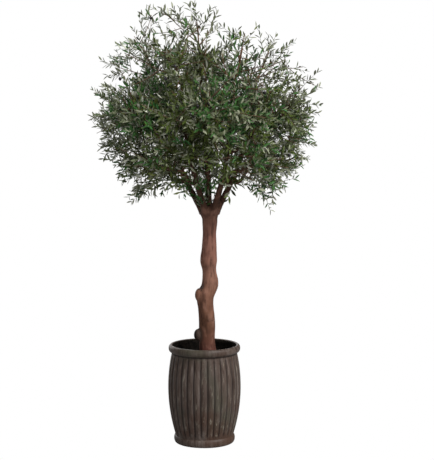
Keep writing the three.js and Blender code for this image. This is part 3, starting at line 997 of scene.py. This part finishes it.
def seam_room(mass, points):
    """How far points are within a mass's own space, where it meets the others'."""
    others = np.arange(len(masses)) != mass.index
    squares = ((points[:, None] - middles) ** 2).sum(-1)
    between = np.linalg.norm(middles[others] - mass.middle, axis=1)
    return ((squares[:, others] - squares[:, [mass.index]]) / (2 * between)).min(1) - MASS_GAP / 2


def in_space(mass, points, margin):
    points = np.atleast_2d(points)
    return (crown_room(points) >= margin).all() and (seam_room(mass, points) >= margin).all()


def clear_of_limbs(start, end, margin):
    along = end - start
    share = np.clip((limb_middles - start) @ along / max(along @ along, 1e-12), 0, 1)
    distance = np.linalg.norm(start + share[:, None] * along - limb_middles, axis=1)
    return (distance > limb_radii + LIMB_GAP + margin).all()


# ---------------------------------------------------------------- the rule that a mass grows by
def outward(points, rise):
    """The way out of the crown, as much up or down as rise says."""
    level = points - np.array([CROWN_AXIS, 0, 0])
    level = unit(level * np.array([1.0, 1.0, 0.0]) + np.array([1e-9, 0, 0]))
    return unit(level + UP * rise)


def stem_path(mass):
    bough = mass.limb.path
    tangent = bough.tangent(1)
    root = bough.point(1) + tangent * ROOT_GAP
    far = mass.middle + (mass.middle - root) * STEM.past
    return smooth_path([root, root + tangent * mass.ring.entry / 4, mass.middle, far])


def twig_path(root, leaving, length, rise):
    """A twig bends from the way that it leaves its stem towards the crown's outside."""
    arriving = unit(leaving + outward(root, rise) * TWIG.bend)
    bend = root + leaving * length / 2
    return bowed_path(root, bend, bend + arriving * length / 2)


def longest_twig(mass, root, leaving):
    """The longest that keeps to the mass's space, with room for the shoot at its tip, clear of the limbs."""
    tip_room = SPRAY.length * SPRAY.shares[-1]
    length = TWIG.longest
    while length >= TWIG.shortest - 1e-9:
        path = twig_path(root, leaving, length, mass.ring.rise)
        joints = path.points([0, 0.5, 1])
        along = [path.on_chord(TWIG.steps, share) for share in (0.25, 0.5, 0.75, 1)]
        along.append(joints[2] + path.tangent(1) * tip_room)
        free = all(clear_of_limbs(joints[i - 1], joints[i], TWIG.root) for i in (1, 2))
        if free and in_space(mass, np.array(along), TWIG.root):
            return path
        length -= TWIG.trial
    return None


def sprays_on(path, steps, random):
    """Where leafy shoots stand on a twig: at its tip, then in pairs towards its root."""
    sprays = [(path.on_chord(steps, 0.98), path.tangent(1))]
    spin = 2 * math.pi * random()
    for pair in range(SPRAY.pairs):
        at = 1 - (pair + 0.55) * SPRAY.apart / path.length
        if at < 0.12:
            break
        for half in (0, 1):
            lean = math.radians(SPRAY.lean + 14 * (random() - 0.5))
            along = turned(path.tangent(at), lean, spin + math.pi * (half + pair / 2))
            sprays.append((path.on_chord(steps, at), along))
    return sprays


def blade_points(root, along, length):
    """Points on the outline of the solid's blade, which the shoot fills."""
    across = unit(np.cross(along, outward(root, SPRAY.face_rise)))
    face = unit(np.cross(across, along))

    def point(forward, aside, above):
        sideways = across * aside * SPRAY.width / 2 + face * above * SPRAY.thickness / 2
        return root + along * forward * length + sideways

    tip, left, right = point(1, 0, 0), point(SPRAY.widest, 1, -1), point(SPRAY.widest, -1, -1)
    points = [mix(root, tip, share) for share in (0.3, 0.5, 0.75, 1)]
    for edge in (left, right):
        points += [edge, mix(root, edge, 0.6), mix(tip, edge, 0.5)]
    return np.array(points), (left, tip, right)


def shoot_path(root, along, length, rise):
    """A shoot, which turns a little up and outward as it goes."""
    bend = root + along * length / 2
    return bowed_path(root, bend, bend + unit(along + outward(root, rise) * 4 * SHOOT.lift) * length / 2)


def twigs_of(mass, stem, random):
    """The twigs of the mass's solid, and where its blades stand on them and on the stem."""
    twigs = []
    sprays = sprays_on(stem, STEM.steps, random)
    for i in range(TWIG.count):
        at = TWIG.first + TWIG.span * (i + random()) / TWIG.count
        spin = i * GOLDEN_ANGLE + random()
        lean = math.radians(mix(TWIG.low_lean, TWIG.high_lean, at))
        leaving = turned(stem.tangent(at), lean, spin)
        path = longest_twig(mass, stem.on_chord(STEM.steps, at), leaving)
        if path:
            twigs.append(path)
            sprays += sprays_on(path, TWIG.steps, random)
    return twigs, sprays


def shoots_in_blades(mass, sprays, random):
    """A shoot in each blade of the mass's solid, fewer where the crown is airy."""
    shoots = []
    taken = np.empty((0, 3))
    for root, along in sprays:
        for share in SPRAY.shares:
            length = share * SPRAY.length
            points, corners = blade_points(root, along, length)
            apart = np.linalg.norm(points[:, None] - taken, axis=-1)
            if apart.size and apart.min() <= SPRAY.gap:
                continue
            if in_space(mass, points, 0) and all(clear_of_limbs(root, corner, 0) for corner in corners):
                shoot = shoot_path(root, along, length, mass.ring.rise)
                bare = random() < SPRAY.thinned * airiness(shoot.point(MID_SHOOT))
                if above_hem(shoot.points([0, *ROOM_AT])).all() and not bare:
                    shoots.append(shoot)
                taken = np.vstack([taken, points])
                break
    return shoots


def grow_mass(mass):
    """The stem, twigs and shoots of a mass: first those of its solid, then the finer ones between them."""
    random = numbers(mass.seed)
    stem = stem_path(mass)
    twigs, sprays = twigs_of(mass, stem, random)
    shoots = shoots_in_blades(mass, sprays, random)
    branchlets = finer_growth(mass, [mass.limb.path, stem, *twigs], twigs, BRANCHLET, SEED.branchlets)
    shoots += finer_growth(mass, [stem, *twigs, *branchlets], shoots, SHOOT, SEED.shoots)
    shoots += limb_sprigs(mass.limb, mass)
    if mass.name == "skirt_foliage_2":
        shoots += fork_shoots()
    return stem, twigs, branchlets, shoots


def limb_sprigs(limb, mass):
    """Short leafy shoots straight off a bough, by the golden angle."""
    random = numbers(mass.seed + SEED.sprigs)
    sprigs = []
    count = round(limb.path.length / SPRIG.apart)
    lowest = SPRIG.inner_lowest if limb.name in SPRIG.inner else SPRIG.lowest
    for i in range(count):
        at = (i + random()) / count
        start = limb.path.point(at)
        lean = math.radians(random(*SPRIG.lean))
        along = turned(limb.path.tangent(at), lean, i * GOLDEN_ANGLE + random(0, SPRIG.waver))
        start = start + along * SPRIG.seated * mix(limb.size.root, limb.size.tip, at)
        length = random(*SPRIG.length)
        while length > SPRIG.shortest and start[2] > lowest:
            path = shoot_path(start, along, length, SPRIG.rise)
            if clear_of_limbs(path.point(MID_SHOOT), path.point(1), SPRIG.limb_gap):
                sprigs.append(path)
                break
            length -= SPRIG.trial
    return sprigs


def fork_shoots():
    random = numbers(FORK_SEED)
    shoots = []
    for i in range(FORK_SHOOTS.count):
        offset = np.array([random(-1, 1), random(-0.3, 0.3), random(-0.2, 1)]) * FORK_SHOOTS.spread
        along = turned(UP, math.radians(random(0, FORK_SHOOTS.lean)), i * GOLDEN_ANGLE)
        start = offset + FORK_SHOOTS.middle
        shoots.append(shoot_path(start, along, random(*FORK_SHOOTS.length), FORK_SHOOTS.rise))
    return shoots


def airiness(point):
    """The share of shoots that the crown does without: most towards its top, some at its underside."""
    buried = 1 - np.linalg.norm((point - AIRY.middle) / AIRY.radii)
    top = AIRY.top * rise_between(point[2], *AIRY.up)
    top *= 1 - AIRY.capped * rise_between(point[2], *AIRY.cap)
    under = AIRY.under * rise_between(point[2], *AIRY.down)
    under *= 1 - AIRY.under_sides * min(1, abs(point[0] - CROWN_AXIS) / HEM.reach)
    tufts = noise.noise((Vector(point) + Vector(AIRY.shift)) * AIRY.clumps)
    return (top * rise_between(buried, *AIRY.depth) + under) * (1 + AIRY.clumped * 2 * tufts)


def finer_growth(mass, carriers, standing, size, seed):
    """Growth by the golden angle off each carrier and at its tip, each as long as its room lets it be."""
    random = numbers(mass.seed + seed)
    taken = np.array([path.point(MID_SHOOT) for path in standing])
    grown = []
    for carrier in carriers:
        count = max(1, round(carrier.length * FINER.counted / size.apart))
        turn = random(0, 2 * math.pi)
        for i in range(count + 1):
            at = FINER.first + FINER.span * (i + random()) / count if i < count else 1.0
            lean = math.radians(random(*(size.lean if i < count else (0, FINER.tip_lean))))
            along = turned(carrier.tangent(at), lean, turn + i * GOLDEN_ANGLE + random(0, FINER.waver))
            if mass.ring.rise < 0:
                along = unit(along - UP * SHOOT.weep * random())
            start = carrier.point(at)
            shy = random(*SHOOT.shy)
            length = random(FINER.least, 1.0) * size.longest
            if random() < size.thinned * airiness(start + along * length * MID_SHOOT):
                continue
            while length >= size.shortest:
                path = shoot_path(start, along, length, mass.ring.rise)
                points = path.points(ROOM_AT)
                apart = np.linalg.norm(taken - path.point(MID_SHOOT), axis=1).min()
                fits = leafy_room(points).min() >= shy and seam_room(mass, points).min() >= -size.astray
                fits = fits and apart > size.gap and above_hem(points, size.above_hem).all()
                fits = fits and above_hem(start[None])[0]
                if fits and clear_of_limbs(points[0], points[2], FINER.limb_gap):
                    grown.append(path)
                    taken = np.vstack([taken, path.point(MID_SHOOT)])
                    break
                length -= size.trial
    return grown


# ---------------------------------------------------------------- trunk and boughs
def make_trunk():
    """Trunk, burls and limbs run into one another, then cut with the bark's relief."""
    surface = Surface()
    points = trunk_path.points(np.linspace(0, 1, TUBE.joints))
    surface.add_tube(points, trunk_radius(points[:, 2]), TUBE.sides)
    for height, side, reach, radius in (*BURLS, STUB):
        vertices, triangles = ball(3, radius)
        surface.add(vertices * [1, 1, BURL_STRETCH] + beside_trunk(height, side, reach), triangles)
    for limb in limbs:
        shares = np.linspace(0, 1, TUBE.limb_joints)
        flare = 1 + BARK.flare * np.exp(-shares * limb.path.length / BARK.flare_length)
        radii = mix(limb.size.root, limb.size.tip, shares) * flare
        surface.add_tube(limb.path.points(shares), radii, TUBE.limb_sides)
    rough = surface.piece("rough_trunk", [])
    melt = rough.modifiers.new("melt", "REMESH")
    melt.mode = "VOXEL"
    melt.voxel_size = BARK.voxel
    ease = rough.modifiers.new("ease", "SMOOTH")
    ease.iterations = BARK.smoothing
    ease.factor = 0.5
    evaluated = rough.evaluated_get(bpy.context.evaluated_depsgraph_get())
    mesh = bpy.data.meshes.new_from_object(evaluated)
    bpy.data.objects.remove(rough)
    cut_at_soil(mesh)
    carve_bark(mesh)
    mesh.polygons.foreach_set("use_smooth", np.ones(len(mesh.polygons), bool))
    mesh.materials.append(bark_finish())
    return place("trunk_and_boughs", mesh)


def beside_trunk(height, side, reach):
    """A point so far out from the trunk's axis, on a side in degrees."""
    x, y = trunk_axis(height)
    return around(x, reach, math.radians(side), height) + np.array([0, y, 0])


def cut_at_soil(mesh):
    """Cuts the trunk flat just above the soil, and closes it."""
    shape = bmesh.new()
    shape.from_mesh(mesh)
    everything = shape.verts[:] + shape.edges[:] + shape.faces[:]
    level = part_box("trunk")[0].z
    cut = bmesh.ops.bisect_plane(
        shape, geom=everything, plane_co=(0, 0, level), plane_no=(0, 0, -1), clear_outer=True
    )
    edges = [part for part in cut["geom_cut"] if isinstance(part, bmesh.types.BMEdge)]
    bmesh.ops.contextual_create(shape, geom=edges)
    shape.to_mesh(mesh)
    shape.free()


def carve_bark(mesh):
    """Long ridges and fine grain along the wood, deeper on the trunk than on the boughs."""
    points, normals = read(mesh, "co"), read(mesh, "normal")
    height = points[:, 2]
    twist = BARK.twist * (height - SOIL_TOP)
    x = points[:, 0] * np.cos(twist) + points[:, 1] * np.sin(twist)
    y = points[:, 1] * np.cos(twist) - points[:, 0] * np.sin(twist)
    relief = np.empty(len(points))
    for i, spot in enumerate(np.stack([x, y, height], axis=-1)):
        ridge, grain = noise.noise(Vector(spot * BARK.ridges)), noise.noise(Vector(spot * BARK.grains))
        relief[i] = BARK.ridge * ridge + BARK.grain * grain
    on_trunk = 1 - smoothstep((height - BARK.bough_from) / BARK.bough_blend)
    relief *= mix(BARK.bough_share, 1.0, on_trunk)
    # a mask of painted shade: the hollows by their depth, and the stub's sawn end
    hollow = np.zeros(len(points))
    for level, side, depth, radius in HOLLOWS:
        centre = beside_trunk(level, side, trunk_radius(np.array(level)))
        near = smoothstep(1 - np.linalg.norm((points - centre) * [1, 1, HOLLOW_SQUEEZE], axis=1) / radius)
        relief -= depth * near
        hollow = np.maximum(hollow, near * depth / BARK.deepest)
    level, side, reach, radius = STUB
    from_end = np.linalg.norm(points - beside_trunk(level, side, reach + radius), axis=1) / radius
    hollow = np.maximum(hollow, BARK.shade_darkness * smoothstep(STUB_END.black - from_end / STUB_END.fade))
    held = smoothstep((height - SOIL_TOP - BARK.soil_line) / BARK.soil_blend)
    moved = points + normals * (relief * held)[:, None]
    mesh.vertices.foreach_set("co", moved.astype(np.float32).ravel())
    store(mesh, "hollow", np.clip(hollow, 0, 1) * BARK.shade_darkness)
    store(mesh, "height", height)
    store(mesh, "grey", smoothstep(STUB_END.grey - from_end))
    mesh.update()


# ---------------------------------------------------------------- leaves
# A leaf along +X, its breadth along Y: stations, half breadths. Its base and tip are points.
STATIONS = np.array([0.22, 0.52, 0.82])
HALVES = np.array([0.36, 0.5, 0.27])


def leaf_template():
    """The outline's 8 points with one in the middle, and the triangles between them."""
    rim = [(0, 0)]
    rim += [(x, -y) for x, y in zip(STATIONS, HALVES)]
    rim += [(1, 0)]
    rim += [(x, y) for x, y in zip(STATIONS[::-1], HALVES[::-1])]
    flat = np.array([*rim, (0.5, 0)])
    fan = np.array([(i, (i + 1) % 8, 8) for i in range(8)])
    return flat, fan


def lay_leaves(surface, leaves):
    """Turns rows of leaves into triangles, each with a green face and a paler underside."""
    flat, fan = leaf_template()
    across = unit(np.cross(leaves.face, leaves.axis))
    face = np.cross(leaves.axis, across)
    x = flat[:, 0][None, :, None] * leaves.length[:, None, None]
    y = flat[:, 1][None, :, None] * leaves.breadth[:, None, None]
    bow = (1 - (2 * flat[:, 0] - 1) ** 2)[None, :, None] * (LEAF.arc * leaves.length)[:, None, None]
    keel = np.zeros(9)
    keel[8] = 1
    sunk = keel[None, :, None] * (LEAF.fold * leaves.breadth)[:, None, None]
    ground = leaves.base[:, None] + x * leaves.axis[:, None] + y * across[:, None]
    top = ground + (bow - sunk) * face[:, None]
    under = top - (keel * LEAF.rib)[None, :, None] * face[:, None] * 2 - 0.0001 * face[:, None]
    count = len(leaves.base)
    vertices = np.concatenate([top, under], axis=1).reshape(-1, 3)
    both = np.concatenate([fan, fan[:, ::-1] + 9])
    triangles = (both[None] + 18 * np.arange(count)[:, None, None]).reshape(-1, 3)
    finishes = np.repeat(np.stack([leaves.tint, leaves.under], axis=1), 8, axis=1).ravel()
    surface.add(vertices, triangles, finishes)


def leaves_on(shoots, rise, random):
    """Opposite pairs along each shoot, a quarter turn apart."""
    rows = []
    for shoot in shoots:
        pairs = max(2, round(shoot.length / LEAF.apart))
        shares = (np.arange(pairs) + 0.5) / pairs * (1 - LEAF.first) + LEAF.first
        spin = random(0, 2 * math.pi)
        size = random(*LEAF.shoot_size)
        middle = shoot.point(0.5)
        patch = 0.5 + LEAF.patch_depth * noise.noise(Vector(middle) * LEAF.patches)
        tone = min(max(mix(random(), patch, LEAF.patchy), 0), 1)
        warmth = noise.noise(Vector(middle + 3) * LEAF.warm_patches) + random(-1, 1) * LEAF.mingled
        sparse = LEAF.sparse * airiness(middle)
        points, tangents = shoot.points(shares), shoot.tangents(shares)
        for i in range(pairs):
            growth = 1 - LEAF.young * shares[i] ** 4
            for half in (0, 1):
                lean = math.radians(random(*LEAF.lean)) * (1 - LEAF.young * shares[i] ** 3)
                side = spin + math.pi * (half + i / 2) + random(-LEAF.waver, LEAF.waver)
                length = random(*LEAF.length) * size * growth
                tilt = (random(-1, 1), random(-1, 1), random(-1, 1))
                breadth = random(*LEAF.breadths)
                row = (*points[i], *tangents[i], lean, side, length, breadth, *tilt, tone, random(), warmth)
                if random() > LEAF.missing + sparse:
                    rows.append(row)
    rows = np.array(rows)
    along = rows[:, 3:6]
    base = rows[:, :3]
    axis = turned(along, rows[:, 6], rows[:, 7])
    axis = unit(axis + UP * LEAF.lift)
    face = along * FACING.along + UP * FACING.up + outward(base, rise) * FACING.out
    face += rows[:, 10:13] * FACING.odd
    return SimpleNamespace(
        base=base + axis * LEAF.stalk,
        axis=axis,
        face=face,
        length=rows[:, 8],
        breadth=rows[:, 8] * LEAF.breadth * rows[:, 9],
        tone=rows[:, 13],
        luck=rows[:, 14],
        cool=rows[:, 15] < 0,
    )


# Upper faces from the darkest to the lightest, then two odd greens, then the first three again, cooler.
GREENS = [
    ("leaf_deep", paint(32, 39, 8), 0.5),
    ("leaf_dark", paint(50, 60, 18), 0.5),
    ("leaf_green", paint(73, 87, 33), 0.5),
    ("leaf_grey_green", paint(95, 103, 73), 0.52),
    ("leaf_silver_green", paint(142, 146, 122), 0.55),
    ("leaf_yellow_green", paint(98, 106, 50), 0.5),
    ("leaf_bright_green", paint(42, 91, 40), 0.5),
    ("leaf_cool_deep", paint(18, 40, 10), 0.5),
    ("leaf_cool_dark", paint(33, 64, 22), 0.5),
    ("leaf_cool_green", paint(52, 93, 39), 0.5),
]
SILVER, YELLOWISH, BRIGHT, COOLER = 4, 5, 6, 7
UNDERSIDES = [("leaf_back_grey", paint(118, 122, 98), 0.65), ("leaf_back_silver", paint(184, 186, 170), 0.7)]


def deal_tints(leaves):
    """A tint for each leaf: painted shade within and below, painted light outside and above, on some shoots
    an odd green.
    """
    room = np.clip(crown_room(leaves.base) / LEAF_LIGHT_AND_TONE.deep, 0, 1)
    height = np.clip((leaves.base[:, 2] - LEAF_LIGHT_AND_TONE.lowest) / LEAF_LIGHT_AND_TONE.tall, 0, 1)
    outside = (1 - room) * mix(LEAF_LIGHT_AND_TONE.under, 1.0, smoothstep(height * LEAF_LIGHT_AND_TONE.under_fade))
    # painted light and shade: leaves outside and higher up lighter, those within and lower down darker; tone
    # and luck are their own variety
    light = LEAF_LIGHT_AND_TONE.outside * outside + LEAF_LIGHT_AND_TONE.height * height + LEAF_LIGHT_AND_TONE.tone * leaves.tone + LEAF_LIGHT_AND_TONE.least
    light += LEAF_LIGHT_AND_TONE.luck * (leaves.luck - 0.5)
    tint = np.clip(np.floor(light * LEAF_LIGHT_AND_TONE.steps), 0, SILVER).astype(int)
    tint = np.where(leaves.cool & (tint + COOLER < len(GREENS)), tint + COOLER, tint)
    tint = np.where((leaves.tone > 1 - LEAF.odd) & (leaves.luck < LEAF.yellowish), YELLOWISH, tint)
    tint = np.where((leaves.tone < LEAF.odd) & (leaves.luck < LEAF.bright), BRIGHT, tint)
    # silver faces: partly the leaves' own silvery tone, partly painted highlight for the glints on them
    leaves.tint = np.where(leaves.luck > LEAF.silver, SILVER, tint)
    leaves.under = len(GREENS) + (leaves.luck > LEAF.pale_back).astype(int)


def hang_olives(shoots_by_mass):
    """Single ripe olives on short stalks, mostly in the upper and outer crown."""
    random = numbers(OLIVE_SEED)
    sphere, triangles = ball(2)
    surface = Surface()
    spots = []
    for mass, shoots in shoots_by_mass:
        for shoot in shoots:
            point = shoot.point(0.5)
            room = crown_room(point[None])[0]
            if room < OLIVE.within:
                continue
            chance = OLIVE.outer_chance if room < OLIVE.outer else OLIVE.inner_chance
            if random() < chance * (0.5 if mass.ring.rise < 0 else 1.0):
                spots.append(point)
    chosen = spots[:: max(1, len(spots) // OLIVE.count)]
    for point in chosen:
        hang = unit(np.array([random(-0.5, 0.5), random(-0.5, 0.5), -1.0]))
        radius = OLIVE.radius * random(0.85, 1.1)
        across = unit(np.cross(hang, SIDE))
        other = np.cross(hang, across)
        shape = sphere[:, :1] * across + sphere[:, 1:2] * other + sphere[:, 2:] * hang * OLIVE.stretch
        middle = point + hang * (OLIVE.stalk + radius * OLIVE.stretch)
        surface.add(middle + shape * radius, triangles)
        stalk = np.array([point, mix(point, middle, 0.3), mix(point, middle, 0.6)])
        surface.add_tube(stalk, [OLIVE.stalk_radius] * 3, 3, 1)
    return surface


def joints_that_carry(points, starts):
    """How many of a twig's points it takes to reach the last growth that starts on it."""
    near = np.linalg.norm(points[:, None] - starts, axis=-1).min(1) < TWIG.bare_end
    return np.flatnonzero(near)[-1] + 2 if near.any() else 0


def add_wood(surface, path, size, starts=None, finish=0):
    """A twig, or only as much of it as carries what starts on it. Says whether there is any."""
    shares = np.linspace(0, 1, size.joints)
    points, radii = path.points(shares), mix(size.root, size.tip, shares)
    kept = size.joints if starts is None else joints_that_carry(points, starts)
    if kept:
        surface.add_tube(points[:kept], radii[:kept], size.sides, finish)
    return kept > 0


def make_crown():
    """The leaves by ring, the twigs and the olives, each kind in pieces of its own."""
    materials = [leaf_finish(*green) for green in GREENS + UNDERSIDES]
    young_wood = twig_finish("young_wood", paint(72, 50, 38), paint(120, 90, 68))
    green_stem = twig_finish("green_stem", paint(54, 56, 34), paint(92, 94, 62))
    pieces = []
    shoots_by_mass = []
    wood = Surface()
    leaf_surfaces = {ring.name: Surface() for ring in [*RINGS, TOP]}
    for mass in masses:
        stem, twigs, branchlets, shoots = grow_mass(mass)
        shoots_by_mass.append((mass, shoots))
        add_wood(wood, stem, STEM)
        carried = [shoot.point(0) for shoot in shoots]
        for size, paths in ((BRANCHLET, branchlets), (TWIG, twigs)):
            starts = np.array(carried)
            carried += [path.point(0) for path in paths if add_wood(wood, path, size, starts)]
        for shoot in shoots:
            add_wood(wood, shoot, SHOOT, finish=1)
        leaves = leaves_on(shoots, mass.ring.rise, numbers(mass.seed + SEED.leaves))
        deal_tints(leaves)
        lay_leaves(leaf_surfaces[mass.ring.name], leaves)
    for name, surface in leaf_surfaces.items():
        piece = surface.piece(f"{name}_leaves", materials)
        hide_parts(*[mass.name for mass in masses if mass.ring.name == name])
        pieces.append(piece)
    twigs = wood.piece("twigs", [young_wood, green_stem])
    olives = hang_olives(shoots_by_mass).piece("olives", [olive_finish(), green_stem])
    for piece in (twigs, olives):
        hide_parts(*[mass.name for mass in masses])
    return [*pieces, twigs, olives]


# ---------------------------------------------------------------- the studio
def shown_white(tree, kind, lit, output):
    """Plain white where the camera looks straight at it, and the shader given here for the light it sheds."""
    white = add_node(tree, kind, sockets={"Color": (1, 1, 1, 1)})
    seen = add_node(tree, "ShaderNodeLightPath").outputs["Is Camera Ray"]
    either = add_node(tree, "ShaderNodeMixShader", sockets={0: seen, 1: lit, 2: white.outputs[0]})
    tree.links.new(either.outputs[0], tree.nodes[output].inputs["Surface"])


def make_floor():
    finish = Finish("studio_floor", (0.34, 0.34, 0.34, 1), 0.9)
    shown_white(finish.tree, "ShaderNodeEmission", finish.shader.outputs[0], "Material Output")
    surface = Surface()
    half = 9.0
    corners = np.array([(-half, -half, 0), (half, -half, 0), (half, half, 0), (-half, half, 0)], float)
    surface.add(corners, np.array([(0, 1, 2), (0, 2, 3)]))
    floor = surface.piece("studio_floor", [finish.material])


def soft_light(name, box):
    """A wide, even light from a height and a turn to the right of the front, in degrees."""
    light = bpy.data.lights.new(name, "SUN")
    light.energy = box.strength
    light.angle = math.radians(box.softness)
    place(name, light).rotation_euler = (math.radians(90 - box.rise), 0, math.radians(box.turn))


def set_studio():
    scene = bpy.context.scene
    world = bpy.data.worlds.new("studio")
    world.use_nodes = True
    tree = world.node_tree
    glow = tree.nodes["Background"]
    glow.inputs["Color"].default_value = (1, 1, 1, 1)
    glow.inputs["Strength"].default_value = GLOW
    shown_white(tree, "ShaderNodeBackground", glow.outputs[0], "World Output")
    scene.world = world
    scene.view_settings.view_transform = "Standard"
    soft_light("right_softbox", KEY)
    soft_light("front_softbox", FILL)
    soft_light("back_softbox", BACK)


def set_camera():
    lens = bpy.data.cameras.new("camera")
    lens.sensor_width = 36
    lens.lens = CAMERA.lens
    camera = place("camera", lens)
    camera.location = CAMERA.place
    camera.rotation_euler = (math.radians(CAMERA.tilt), 0, 0)
    bpy.context.scene.camera = camera


# ---------------------------------------------------------------- the whole
pot = make_pot()
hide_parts("pot")
soil = make_soil()
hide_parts("soil")
trunk = make_trunk()
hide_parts("trunk", *[limb.name for limb in limbs])
for piece in [pot, soil, trunk, *make_crown()]:
    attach(piece, "root")

make_floor()
set_studio()
set_camera()
